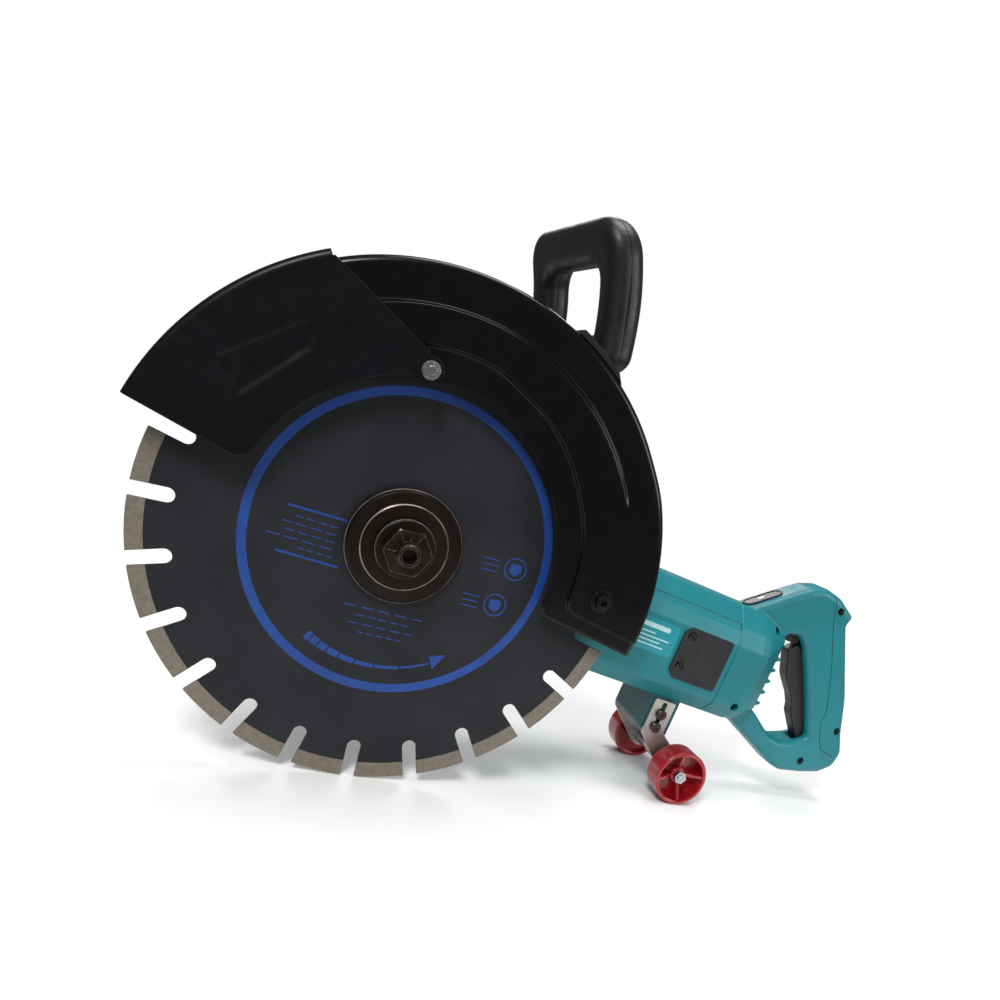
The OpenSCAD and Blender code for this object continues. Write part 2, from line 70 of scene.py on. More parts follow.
# Places: each turns a shape drawn in millimetres into the frame's metres
discPlace = Matrix.Translation(spindleCentre) @ Matrix.Rotation(math.pi / 2, 4, "X") @ Matrix.Scale(mm, 4)
bodyPlace = (Matrix.Translation(spindleCentre + Vector((0, motorOffset, 0)))
             @ Matrix.Rotation(bodyTilt, 4, "Y") @ Matrix.Scale(mm, 4))
sidePlace = bodyPlace @ Matrix.Rotation(math.pi / 2, 4, "X")  # x along the motor, y up, z to the near side
handlePlace = (Matrix.Translation(spindleCentre + Vector((0.114, -0.0135, 0.156)))
               @ Matrix.Rotation(handleLean, 4, "Y") @ Matrix.Rotation(handleYaw, 4, "Z") @ Matrix.Scale(mm, 4))
farSide = Matrix.Scale(-1, 4, (0, 0, 1))


# Drawing helpers
def polar(radius, degrees):
    return (radius * math.cos(math.radians(degrees)), radius * math.sin(math.radians(degrees)))


def smoothStep(low, high, value):
    t = min(max((value - low) / (high - low), 0), 1)
    return t * t * (3 - 2 * t)


def roundPoly(points, radius, steps):
    made = []
    for i, point in enumerate(points):
        want = radius[i] if isinstance(radius, (list, tuple)) else radius
        corner = Vector(point)
        back = Vector(points[i - 1]) - corner
        ahead = Vector(points[(i + 1) % len(points)]) - corner
        room = min(back.length, ahead.length) * 0.49
        back.normalize()
        ahead.normalize()
        half = back.angle(ahead) / 2
        if want < 0.05 or half > math.pi / 2 - 0.01:
            made.append(tuple(corner))
            continue
        cut = min(want / math.tan(half), room)
        bend = cut * math.tan(half)
        centre = corner + (back + ahead).normalized() * (bend / math.sin(half))
        first = corner + back * cut - centre
        last = corner + ahead * cut - centre
        turn = (math.atan2(last.y, last.x) - math.atan2(first.y, first.x) + math.pi) % (2 * math.pi) - math.pi
        for k in range(steps + 1):
            angle = math.atan2(first.y, first.x) + turn * k / steps
            made.append((centre.x + bend * math.cos(angle), centre.y + bend * math.sin(angle)))
    return made


def signedArea(points):
    return sum(a[0] * b[1] - b[0] * a[1] for a, b in zip(points, points[1:] + points[:1])) / 2


def insetLoop(points, depth):
    made = []
    for i, point in enumerate(points):
        along = (Vector(points[(i + 1) % len(points)]) - Vector(points[i - 1])).normalized()
        made.append((point[0] - along.y * depth, point[1] + along.x * depth))
    return made


def arcPoints(radius, start, end, steps, centre=(0, 0)):
    spots = [polar(radius, start + (end - start) * k / steps) for k in range(steps + 1)]
    return [(centre[0] + x, centre[1] + y) for x, y in spots]


def hexLoop(radius):
    return [polar(radius, angle) for angle in range(0, 360, 60)]


def outward(shape):
    bmesh.ops.recalc_face_normals(shape, faces=shape.faces[:])


def reverse(shape):
    bmesh.ops.reverse_faces(shape, faces=shape.faces[:])


def addRing(shape, loop, height):
    return [shape.verts.new((x, y, height)) for x, y in loop]


def bridgeRings(shape, low, high):
    for k in range(len(low)):
        after = (k + 1) % len(low)
        shape.faces.new((low[k], low[after], high[after], high[k]))


def capRings(shape, rings):
    edges = []
    for ring in rings:
        for a, b in zip(ring, ring[1:] + ring[:1]):
            edges.append(shape.edges.get((a, b)) or shape.edges.new((a, b)))
    bmesh.ops.triangle_fill(shape, use_beauty=True, use_dissolve=False, edges=edges)


# A slab of the outline from height low to high, with its rims rounded by the fillet
def slab(outline, low, high, holes=(), fillet=0, steps=5):
    shape = bmesh.new()
    loops = [outline if signedArea(outline) > 0 else outline[::-1]]
    loops += [hole if signedArea(hole) < 0 else hole[::-1] for hole in holes]
    levels = [(low, 0), (high, 0)]
    if fillet:
        curve = [math.pi / 2 * k / steps for k in range(steps + 1)]
        levels = [(low + fillet * (1 - math.sin(a)), fillet * (1 - math.cos(a))) for a in reversed(curve)]
        levels += [(high - fillet * (1 - math.sin(a)), fillet * (1 - math.cos(a))) for a in curve]
    ends = []
    for loop in loops:
        rings = [addRing(shape, insetLoop(loop, inset) if inset else loop, height) for height, inset in levels]
        for below, above in zip(rings, rings[1:]):
            bridgeRings(shape, below, above)
        ends.append((rings[0], rings[-1]))
    capRings(shape, [pair[0] for pair in ends])
    capRings(shape, [pair[1] for pair in ends])
    outward(shape)
    return shape


# A solid of revolution from a closed profile of (radius, height)
def lathe(profile, steps=96):
    shape = bmesh.new()
    rings = [addRing(shape, arcPoints(radius, 0, 360 - 360 / steps, steps - 1), height)
             for radius, height in profile]
    for i, ring in enumerate(rings):
        bridgeRings(shape, ring, rings[(i + 1) % len(rings)])
    bmesh.ops.remove_doubles(shape, verts=shape.verts[:], dist=0.001)
    outward(shape)
    return shape


def moved(shape, x, y, z=0):
    bmesh.ops.transform(shape, matrix=Matrix.Translation((x, y, z)), verts=shape.verts[:])
    return shape


def joined(*shapes):
    whole = shapes[0]
    for other in shapes[1:]:
        mesh = bpy.data.meshes.new("part")
        other.to_mesh(mesh)
        whole.from_mesh(mesh)
        bpy.data.meshes.remove(mesh)
        other.free()
    return whole


def toHolder(name, shape):
    mesh = bpy.data.meshes.new(name)
    shape.to_mesh(mesh)
    shape.free()
    holder = bpy.data.objects.new(name, mesh)
    bpy.context.scene.collection.objects.link(holder)
    return holder


def bakeHolder(holder):
    graph = bpy.context.evaluated_depsgraph_get()
    mesh = bpy.data.meshes.new_from_object(holder.evaluated_get(graph), preserve_all_data_layers=True,
                                           depsgraph=graph)
    bpy.data.objects.remove(holder)
    return mesh


def fromMesh(mesh):
    shape = bmesh.new()
    shape.from_mesh(mesh)
    bpy.data.meshes.remove(mesh)
    return shape


def carve(shape, tool, operation="DIFFERENCE"):
    holder, cutter = toHolder("carved", shape), toHolder("cutter", tool)
    change = holder.modifiers.new("carve", "BOOLEAN")
    change.operation, change.object, change.solver = operation, cutter, "EXACT"
    mesh = bakeHolder(holder)
    bpy.data.objects.remove(cutter)
    return fromMesh(mesh)


# The mesh and its mirror image on the far side
def bothSides(mesh):
    near, far = bmesh.new(), bmesh.new()
    near.from_mesh(mesh)
    far.from_mesh(mesh)
    bmesh.ops.transform(far, matrix=farSide, verts=far.verts[:])
    reverse(far)
    return joined(near, far)


# Turns a shape into a mesh, with its wall, rounded edges and even shading
def shaped(shape, bevel=0, segments=2, wall=0, angle=32, flatShade=True):
    holder = toHolder("shaped", shape)
    for face in holder.data.polygons:
        face.use_smooth = True
    if wall:
        thicken = holder.modifiers.new("wall", "SOLIDIFY")
        thicken.thickness, thicken.offset, thicken.use_even_offset = wall, -1, True
    if bevel:
        ease = holder.modifiers.new("edges", "BEVEL")
        ease.width, ease.segments, ease.limit_method = bevel, segments, "ANGLE"
        ease.angle_limit = math.radians(angle)
        ease.use_clamp_overlap = True
    mesh = bakeHolder(holder)
    mesh.set_sharp_from_angle(angle=math.radians(48))
    holder = bpy.data.objects.new("weighted", mesh)
    bpy.context.scene.collection.objects.link(holder)
    if flatShade:
        weigh = holder.modifiers.new("shade", "WEIGHTED_NORMAL")
        weigh.keep_sharp = True
    return bakeHolder(holder)


def addPiece(name, mesh, place, body, finish, replaced=()):
    if place.determinant() < 0:
        mirrored = fromMesh(mesh)
        bmesh.ops.transform(mirrored, matrix=farSide, verts=mirrored.verts[:])
        reverse(mirrored)
        mesh, place = shaped(mirrored), place @ farSide
    mesh.name = name
    mesh.transform(place)
    mesh.materials.clear()
    mesh.materials.append(finish)
    piece = bpy.data.objects.new(name, mesh)
    bpy.context.scene.collection.objects.link(piece)
    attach(piece, body)
    if replaced:
        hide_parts(*replaced)
    return piece


# A CAD node's shape with its edges rounded, standing for the node
def softened(node, finish, bevel, segments):
    shape = bmesh.new()
    shape.from_mesh(frame["nodes"][node].data)
    bmesh.ops.transform(shape, matrix=Matrix.Scale(1 / mm, 4), verts=shape.verts[:])
    bmesh.ops.remove_doubles(shape, verts=shape.verts[:], dist=0.002)
    bmesh.ops.dissolve_limit(shape, angle_limit=math.radians(0.6), verts=shape.verts[:],
                             edges=shape.edges[:], use_dissolve_boundaries=False)
    mesh = shaped(shape, bevel=bevel, segments=segments)
    body = frame["nodes"][node]["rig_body"]
    return addPiece(node + "_shape", mesh, Matrix.Scale(mm, 4), body, finish, (node,))


# Repeating with geometry nodes
def newTree(name, sockets):
    tree = bpy.data.node_groups.new(name, "GeometryNodeTree")
    for label, kind in [("Geometry", "NodeSocketGeometry")] + sockets:
        tree.interface.new_socket(name=label, in_out="INPUT", socket_type=kind)
    tree.interface.new_socket(name="Geometry", in_out="OUTPUT", socket_type="NodeSocketGeometry")
    return tree


def finishTree(tree, placed, finishSocket):
    realize = tree.nodes.new("GeometryNodeRealizeInstances")
    paint = tree.nodes.new("GeometryNodeSetMaterial")
    leave = tree.nodes.new("NodeGroupOutput")
    tree.links.new(placed, realize.inputs[0])
    tree.links.new(realize.outputs[0], paint.inputs["Geometry"])
    tree.links.new(finishSocket, paint.inputs["Material"])
    tree.links.new(paint.outputs[0], leave.inputs[0])


def ringTree():
    tree = newTree("part_round_a_ring", [("Count", "NodeSocketInt"), ("Start Angle", "NodeSocketFloat"),
                                         ("Finish", "NodeSocketMaterial")])
    enter = tree.nodes.new("NodeGroupInput")
    line = tree.nodes.new("GeometryNodeMeshLine")
    line.inputs["Offset"].default_value = (0, 0, 0)
    index = tree.nodes.new("GeometryNodeInputIndex")
    step = tree.nodes.new("ShaderNodeMath")
    step.operation = "DIVIDE"
    step.inputs[0].default_value = 2 * math.pi
    turn = tree.nodes.new("ShaderNodeMath")
    turn.operation = "MULTIPLY_ADD"
    axis = tree.nodes.new("ShaderNodeCombineXYZ")
    place = tree.nodes.new("GeometryNodeInstanceOnPoints")
    for source, target in ((enter.outputs["Count"], line.inputs["Count"]),
                           (enter.outputs["Count"], step.inputs[1]),
                           (index.outputs[0], turn.inputs[0]),
                           (step.outputs[0], turn.inputs[1]),
                           (enter.outputs["Start Angle"], turn.inputs[2]),
                           (turn.outputs[0], axis.inputs["Z"]),
                           (line.outputs[0], place.inputs["Points"]),
                           (enter.outputs["Geometry"], place.inputs["Instance"]),
                           (axis.outputs[0], place.inputs["Rotation"])):
        tree.links.new(source, target)
    finishTree(tree, place.outputs[0], enter.outputs["Finish"])
    return tree


def rowTree():
    tree = newTree("part_in_a_row", [("Count", "NodeSocketInt"), ("Step", "NodeSocketVector"),
                                     ("Finish", "NodeSocketMaterial")])
    enter = tree.nodes.new("NodeGroupInput")
    line = tree.nodes.new("GeometryNodeMeshLine")
    place = tree.nodes.new("GeometryNodeInstanceOnPoints")
    tree.links.new(enter.outputs["Count"], line.inputs["Count"])
    tree.links.new(enter.outputs["Step"], line.inputs["Offset"])
    tree.links.new(line.outputs[0], place.inputs["Points"])
    tree.links.new(enter.outputs["Geometry"], place.inputs["Instance"])
    finishTree(tree, place.outputs[0], enter.outputs["Finish"])
    return tree


def spotTree():
    tree = newTree("part_on_spots", [("Spots", "NodeSocketObject"), ("Finish", "NodeSocketMaterial")])
    enter = tree.nodes.new("NodeGroupInput")
    look = tree.nodes.new("GeometryNodeObjectInfo")
    place = tree.nodes.new("GeometryNodeInstanceOnPoints")
    tree.links.new(enter.outputs["Spots"], look.inputs["Object"])
    tree.links.new(look.outputs["Geometry"], place.inputs["Points"])
    tree.links.new(enter.outputs["Geometry"], place.inputs["Instance"])
    finishTree(tree, place.outputs[0], enter.outputs["Finish"])
    return tree


def repeated(mesh, tree, finish, values):
    holder = bpy.data.objects.new("repeated", mesh)
    bpy.context.scene.collection.objects.link(holder)
    spread = holder.modifiers.new("spread", "NODES")
    spread.node_group = tree
    for item in tree.interface.items_tree:
        if item.item_type == "SOCKET" and item.in_out == "INPUT" and item.name in values:
            spread[item.identifier] = values[item.name]
        if item.item_type == "SOCKET" and item.in_out == "INPUT" and item.name == "Finish":
            spread[item.identifier] = finish
    return bakeHolder(holder)


def spotHolder(spots):
    shape = bmesh.new()
    for spot in spots:
        shape.verts.new(spot)
    return toHolder("spots", shape)


roundRing, straightRow, onSpots = ringTree(), rowTree(), spotTree()


# Finishes
def rgb(code):
    parts = [int(code[i:i + 2], 16) / 255 for i in (1, 3, 5)]
    return tuple(c / 12.92 if c <= 0.04045 else ((c + 0.055) / 1.055) ** 2.4 for c in parts) + (1,)


def addNode(tree, kind, inputs=None, **settings):
    node = tree.nodes.new(kind)
    for label, value in settings.items():
        setattr(node, label, value)
    for label, value in (inputs or {}).items():
        if isinstance(value, bpy.types.NodeSocket):
            tree.links.new(value, node.inputs[label])
        else:
            node.inputs[label].default_value = value
    return node


def newFinish(name, **shader):
    finish = bpy.data.materials.new(name)
    finish.use_nodes = True
    tree = finish.node_tree
    tree.nodes.clear()
    surface = addNode(tree, "ShaderNodeBsdfPrincipled")
    for label, value in shader.items():
        surface.inputs[label.replace("_", " ")].default_value = value
    leave = addNode(tree, "ShaderNodeOutputMaterial")
    tree.links.new(surface.outputs[0], leave.inputs[0])
    where = addNode(tree, "ShaderNodeTexCoord").outputs["Object"]
    return finish, tree, surface, where


def noiseAt(tree, where, sizeMm, detail=3, rough=0.55, distortion=0):
    return addNode(tree, "ShaderNodeTexNoise", {"Vector": where, "Scale": 1 / (sizeMm * mm), "Detail": detail,
                                                "Roughness": rough, "Distortion": distortion}).outputs[0]


def spread(tree, value, low, high, outLow, outHigh):
    return addNode(tree, "ShaderNodeMapRange", {"Value": value, "From Min": low, "From Max": high,
                                                "To Min": outLow, "To Max": outHigh}).outputs[0]


def mixColours(tree, factor, first, second):
    node = addNode(tree, "ShaderNodeMix", data_type="RGBA", blend_type="MIX")
    for socket, value in ((node.inputs[0], factor), (node.inputs[6], first), (node.inputs[7], second)):
        if isinstance(value, bpy.types.NodeSocket):
            tree.links.new(value, socket)
        else:
            socket.default_value = value
    return node.outputs[2]


# Joins colour, roughness and relief to the surface
def dress(tree, surface, colour, shine, height, strength, depthMm):
    relief = addNode(tree, "ShaderNodeBump", {"Height": height, "Strength": strength, "Distance": depthMm * mm})
    for label, value in (("Base Color", colour), ("Roughness", shine), ("Normal", relief.outputs[0])):
        tree.links.new(value, surface.inputs[label])


def edgeMask(tree, radiusMm, amount):
    worn = addNode(tree, "ShaderNodeBevel", {"Radius": radiusMm * mm}, samples=6).outputs[0]
    plain = addNode(tree, "ShaderNodeNewGeometry").outputs["Normal"]
    same = addNode(tree, "ShaderNodeVectorMath", {0: worn, 1: plain}, operation="DOT_PRODUCT").outputs["Value"]
    return spread(tree, same, 1, 0.86, 0, amount)


# Moulded, painted or cast: two near colours in soft clouds, a fine grain, and worn edges
def grainFinish(name, colours, roughness, grainMm, bumpMm, cloudMm, worn=None, wornAmount=0.5, **shader):
    finish, tree, surface, where = newFinish(name, **shader)
    cloud = noiseAt(tree, where, cloudMm, 4)
    grain = noiseAt(tree, where, grainMm, 5, 0.6)
    marks = noiseAt(tree, where, cloudMm / 4, 6, 0.7, 1.5)
    colour = mixColours(tree, spread(tree, cloud, 0.35, 0.65, 0, 1), rgb(colours[0]), rgb(colours[1]))
    if worn:
        patchy = addNode(tree, "ShaderNodeMath", {0: edgeMask(tree, 0.9, wornAmount),
                                                  1: spread(tree, marks, 0.4, 0.6, 0.2, 1)},
                         operation="MULTIPLY").outputs[0]
        colour = mixColours(tree, patchy, colour, rgb(worn))
    dress(tree, surface, colour, spread(tree, marks, 0.3, 0.7, *roughness), grain, 0.6, bumpMm)
    return finish


# Distance from the spindle's axis, in metres
def fromSpindle(tree, where):
    centred = addNode(tree, "ShaderNodeVectorMath", {0: where, 1: tuple(spindleCentre)},
                      operation="SUBTRACT").outputs[0]
    parts = addNode(tree, "ShaderNodeSeparateXYZ", {"Vector": centred})
    flat = addNode(tree, "ShaderNodeCombineXYZ", {"X": parts.outputs["X"], "Y": parts.outputs["Z"]}).outputs[0]
    return addNode(tree, "ShaderNodeVectorMath", {0: flat}, operation="LENGTH").outputs["Value"]


# colour of the painted highlight laid in bands on the chamfers of turned parts
chamferHighlight = "#b8aea4"


# Turned or ground about the spindle: rings of fine marks, and bright bands at the given radii that are a painted
# highlight
def turnedFinish(name, colours, roughness, ringMm, bands=(), bandMm=0.5, **shader):
    finish, tree, surface, where = newFinish(name, **shader)
    length = fromSpindle(tree, where)
    cloud = noiseAt(tree, where, 45, 4)
    place = addNode(tree, "ShaderNodeCombineXYZ", {"X": length}).outputs[0]
    rings = addNode(tree, "ShaderNodeTexNoise", {"Vector": place, "Scale": 1 / (ringMm * mm), "Detail": 4,
                                                 "Roughness": 0.7}).outputs[0]
    colour = mixColours(tree, spread(tree, cloud, 0.35, 0.65, 0, 1), rgb(colours[0]), rgb(colours[1]))
    for radius in bands:
        near = addNode(tree, "ShaderNodeMath", {0: length, 1: radius * mm, 2: bandMm * mm},
                       operation="COMPARE").outputs[0]
        patches = spread(tree, noiseAt(tree, where, 9), 0.3, 0.6, 0.35, 1)
        broken = addNode(tree, "ShaderNodeMath", {0: near, 1: patches}, operation="MULTIPLY").outputs[0]
        colour = mixColours(tree, broken, colour, rgb(chamferHighlight))
    dress(tree, surface, colour, spread(tree, rings, 0.25, 0.75, *roughness), rings, 0.35, 0.05)
    return finish


# Brushed or drawn: marks stretched along one direction of the frame, and a painted highlight of near-white along
# every edge
def brushedFinish(name, colours, roughness, stretch, **shader):
    finish, tree, surface, where = newFinish(name, **shader)
    drawn = addNode(tree, "ShaderNodeMapping", {"Vector": where, "Scale": stretch}).outputs[0]
    lines = noiseAt(tree, drawn, 0.35, 4, 0.65)
    stains = noiseAt(tree, where, 22, 5, 0.6)
    shade = spread(tree, stains, 0.35, 0.7, 0, 1)
    colour = mixColours(tree, shade, rgb(colours[0]), rgb(colours[1]))
    # painted highlight: near-white mixed in along the edges
    colour = mixColours(tree, edgeMask(tree, 0.6, 0.6), colour, rgb("#eceae6"))
    dress(tree, surface, colour, spread(tree, lines, 0.3, 0.7, *roughness), lines, 0.3, 0.04)
    return finish


# Sintered metal with grit standing in it
def gritFinish(name, colours, gritMm):
    finish, tree, surface, where = newFinish(name, Metallic=0.35)
    cells = addNode(tree, "ShaderNodeTexVoronoi", {"Vector": where, "Scale": 1 / (gritMm * mm)},
                    feature="F1").outputs["Distance"]
    cloud = noiseAt(tree, where, 4, 6, 0.75)
    base = mixColours(tree, spread(tree, cloud, 0.35, 0.65, 0, 1), rgb(colours[0]), rgb(colours[1]))
    speck = spread(tree, cells, 0.22, 0.05, 0, 0.8)
    colour = mixColours(tree, speck, base, rgb(colours[2]))
    dress(tree, surface, colour, spread(tree, cloud, 0.3, 0.7, 0.45, 0.75), cells, 0.7, 0.18)
    return finish


# Stacked sheets or wound wire: bands across the motor's axis
def stackedFinish(name, colours, sheetMm, metallic, roughness):
    finish, tree, surface, where = newFinish(name, Metallic=metallic)
    tilted = addNode(tree, "ShaderNodeMapping", {"Vector": where, "Rotation": (0, -bodyTilt, 0)}).outputs[0]
    bands = addNode(tree, "ShaderNodeTexWave", {"Vector": tilted, "Scale": 1 / (sheetMm * mm) / math.tau * 2,
                                                "Distortion": 0.6, "Detail": 2}, bands_direction="X").outputs["Fac"]
    colour = mixColours(tree, bands, rgb(colours[0]), rgb(colours[1]))
    dress(tree, surface, colour, spread(tree, noiseAt(tree, where, 8), 0.3, 0.7, *roughness), bands, 0.5, 0.12)
    return finish


finishes = {
    # satin coating on the blade's steel core
    "core": turnedFinish("blade_coating", ("#1f2024", "#26272b"), (0.42, 0.6), 0.9, Specular_IOR_Level=0.2),
    # screen-printed ink
    "ink": grainFinish("blade_ink_blue", ("#083780", "#0b408f"), (0.42, 0.6), 0.25, 0.02, 18),
    # sintered diamond segment
    "segment": gritFinish("diamond_segment_grit", ("#6b6459", "#877d6f", "#b9b0a2"), 0.7),
    # oil-blackened flange with machined rings, and bright bands on its chamfers that are a painted highlight
    "flange": turnedFinish("flange_black_oxide", ("#1d1613", "#2a201c"), (0.26, 0.42), 0.35,
                           (40.35, 30.1, 20.6), 0.3, Metallic=0.75),
    # oil-blackened nut and spindle
    "nut": grainFinish("nut_black_oxide", ("#2a221e", "#3a302b"), (0.24, 0.42), 0.5, 0.02, 14,
                       "#b3a89e", 0.75, Metallic=0.85),
    # zinc-plated or plain bright steel
    "bright": grainFinish("bright_steel", ("#a7aaae", "#c2c5c8"), (0.2, 0.38), 0.4, 0.02, 16,
                          "#e8e9ea", 0.5, Metallic=1.0),
    # hardened gear steel with oil
    "gear": grainFinish("gear_steel", ("#5f5d5b", "#7a7876"), (0.22, 0.4), 0.5, 0.03, 12, "#b0aeac", 0.5,
                        Metallic=1.0),
    # sand-cast alloy, painted dark grey
    "cast": grainFinish("cast_alloy_grey", ("#33373a", "#3f4448"), (0.46, 0.66), 1.6, 0.18, 60, "#8d9194", 0.35,
                        Metallic=0.3),
    # gloss black enamel on pressed sheet
    "guard": grainFinish("guard_gloss_black", ("#050506", "#08090a"), (0.17, 0.28), 5.5, 0.03, 90,
                         "#3c3a37", 0.5, Specular_IOR_Level=0.26),
    # satin black enamel
    "visor": grainFinish("visor_satin_black", ("#06070a", "#0a0c10"), (0.3, 0.42), 2.2, 0.03, 90,
                         "#4a4744", 0.5, Specular_IOR_Level=0.22),
    # moulded rubber
    "rubber": grainFinish("rubber_black", ("#161617", "#1d1d1e"), (0.7, 0.88), 0.5, 0.06, 30),
    # fine-textured moulded teal nylon
    "teal": grainFinish("teal_moulded_nylon", ("#087079", "#0a7b84"), (0.36, 0.5), 0.42, 0.05, 85,
                        "#2f9fa6", 0.35, Specular_IOR_Level=0.5),
    # darker teal block that carries the wheels
    "tealDark": grainFinish("teal_bracket_block", ("#08484f", "#09525a"), (0.4, 0.55), 0.42, 0.05, 40,
                            "#24868d", 0.35),
    # moulded black nylon
    "black": grainFinish("black_moulded_nylon", ("#131416", "#1a1b1d"), (0.4, 0.56), 0.42, 0.05, 50,
                         "#45474a", 0.35),
    # matt moulded grip
    "grip": grainFinish("black_handle_nylon", ("#101112", "#161718"), (0.34, 0.52), 0.7, 0.06, 60,
                        "#3f4143", 0.3, Specular_IOR_Level=0.4),
    # dark shadow line between two mouldings
    "seam": grainFinish("seam_shadow", ("#03282c", "#04343a"), (0.7, 0.9), 0.5, 0.02, 20),
    # laminated electrical steel
    "lamination": stackedFinish("laminated_steel", ("#4d4b49", "#8a8784"), 1.0, 0.9, (0.35, 0.55)),
    # enamelled copper wire
    "copper": stackedFinish("enamelled_copper", ("#7c3d1a", "#c27a3e"), 1.2, 0.8, (0.25, 0.4)),
    # pale glass-filled fan moulding
    "fan": grainFinish("fan_nylon", ("#b9b5a8", "#cbc7bb"), (0.45, 0.6), 0.6, 0.05, 30, "#dedbd2", 0.4),
    # drawn brass
    "brass": brushedFinish("brush_holder_brass", ("#a37c32", "#c19a4e"), (0.25, 0.4), (1, 8, 1),
                           Metallic=1.0),
    # pressed carbon
    "carbon": grainFinish("brush_carbon", ("#19191a", "#2a2a2c"), (0.55, 0.75), 0.4, 0.05, 6, "#4c4c4e", 0.4),
    # epoxy-filled circuit board
    "board": grainFinish("circuit_board_green", ("#145431", "#1c6b3e"), (0.3, 0.45), 1.4, 0.1, 8, "#8d9a62", 0.4),
    # smoked indicator lens
    "lens": grainFinish("smoked_lens", ("#0c0a09", "#15110f"), (0.3, 0.42), 3.0, 0.01, 12,
                        Specular_IOR_Level=0.35),
    # zinc-plated bracket sheet
    "plate": brushedFinish("bracket_zinc_plate", ("#9c9894", "#bdb9b4"), (0.3, 0.48), (14, 1, 1),
                           Metallic=0.9),
    # glossy red wheel moulding
    "wheel": grainFinish("wheel_red_nylon", ("#8c0d16", "#a0121c"), (0.14, 0.26), 0.9, 0.04, 24, "#c8323a", 0.15,
                         Coat_Weight=0.4, Coat_Roughness=0.12, Subsurface_Weight=0.05,
                         Subsurface_Radius=(0.002, 0.0005, 0.0004)),
    # printed label film
    "label": grainFinish("label_film_teal", ("#158a98", "#1b93a1"), (0.22, 0.34), 3.0, 0.01, 30, Coat_Weight=0.3),
    # white print on the label
    "labelInk": grainFinish("label_print_white", ("#a9d3d7", "#bfe0e3"), (0.3, 0.4), 0.5, 0.01, 10),
    # amber lamp under the lens
    "lamp": grainFinish("indicator_lamp", ("#b9a892", "#d8c8b0"), (0.15, 0.25), 1.0, 0.02, 3, Coat_Weight=0.5),
}
print("finishes made:", len(finishes))

# Blade
bladeSize = {"coreRadius": 164, "coreThick": 2.4, "segmentRadius": 175, "segmentThick": 3.2, "slots": 24,
             "slotHalf": 5, "slotCentre": 152.5, "arbor": 12.7}


def bladeOutline(size):
    edge = math.degrees(math.asin(size["slotHalf"] / size["coreRadius"]))
    pitch = 360 / size["slots"]
    made = []
    for i in range(size["slots"]):
        turn = Matrix.Rotation(math.radians(i * pitch), 2)
        for k in range(11):
            angle = math.radians(270 - 18 * k)
            spot = turn @ Vector((size["slotCentre"] + size["slotHalf"] * math.cos(angle),
                                  size["slotHalf"] * math.sin(angle)))
            made.append(tuple(spot))
        made += arcPoints(size["coreRadius"], i * pitch + edge, (i + 1) * pitch - edge, 6)
    return made


halfCore = bladeSize["coreThick"] / 2
core = slab(bladeOutline(bladeSize), -halfCore, halfCore, [arcPoints(bladeSize["arbor"], 0, 354, 59)])
addPiece("blade_disc", shaped(core, bevel=0.2), discPlace, "spindle_set", finishes["core"],
         ("blade_core",))


def segmentOutline(size):
    pitch = 360 / size["slots"]
    inner = math.degrees(math.asin(size["slotHalf"] / size["coreRadius"]))
    outer = math.degrees(math.asin(size["slotHalf"] / size["segmentRadius"]))
    return (arcPoints(size["coreRadius"], inner, pitch - inner, 8)
            + arcPoints(size["segmentRadius"], outer, pitch - outer, 8)[::-1])


segment = shaped(slab(segmentOutline(bladeSize), -bladeSize["segmentThick"] / 2, bladeSize["segmentThick"] / 2),
                 bevel=0.25)
segmentRing = repeated(segment, roundRing, finishes["segment"], {"Count": bladeSize["slots"], "Start Angle": 0.0})
addPiece("blade_segment_ring", segmentRing, discPlace, "spindle_set", finishes["segment"],
         ("blade_segments",))

# Blade print
printSize = {"low": halfCore - 0.1, "high": halfCore + 0.05, "ringIn": 102.5, "ringOut": 108.8,
             "barWide": 1.6, "arrowRadius": 90, "arrowStart": 236, "arrowEnd": 304}


def printedBar(start, end, wide):
    along = (Vector(end) - Vector(start)).normalized() * wide / 2
    side = Vector((-along.y, along.x))
    a, b = Vector(start), Vector(end)
    return slab([tuple(a - side), tuple(b - side), tuple(b + side), tuple(a + side)],
                printSize["low"], printSize["high"])


def printedRing(inner, outer, centre=(0, 0)):
    ring = lathe([(inner, printSize["low"]), (outer, printSize["low"]), (outer, printSize["high"]),
                  (inner, printSize["high"])])
    return moved(ring, centre[0], centre[1])


def printedArrow(size):
    span = size["arrowEnd"] - size["arrowStart"] - 8
    blocks = []
    at = size["arrowStart"]
    lengths = [2.6, 3.4, 4.2, 5.4, 7.0, 8.6, 11.0, 14.0]
    scale = span / (sum(lengths) + 0.7 * len(lengths))
    for k, length in enumerate(lengths):
        half = 3.4 - 0.38 * k
        outer, inner = size["arrowRadius"] + half, size["arrowRadius"] - half
        block = arcPoints(inner, at, at + length * scale, 5) + arcPoints(outer, at, at + length * scale, 5)[::-1]
        blocks.append(slab(block, size["low"], size["high"]))
        at += (length + 0.7) * scale
    tip = slab([polar(size["arrowRadius"] + 5, at), polar(size["arrowRadius"] - 5, at),
                polar(size["arrowRadius"] - 2, at + 8)], size["low"], size["high"])
    return joined(*blocks, tip)


# Plain strokes stand where the maker's words are
def printedRows(rows, wide):
    return joined(*[printedBar(start, end, wide) for start, end in rows])


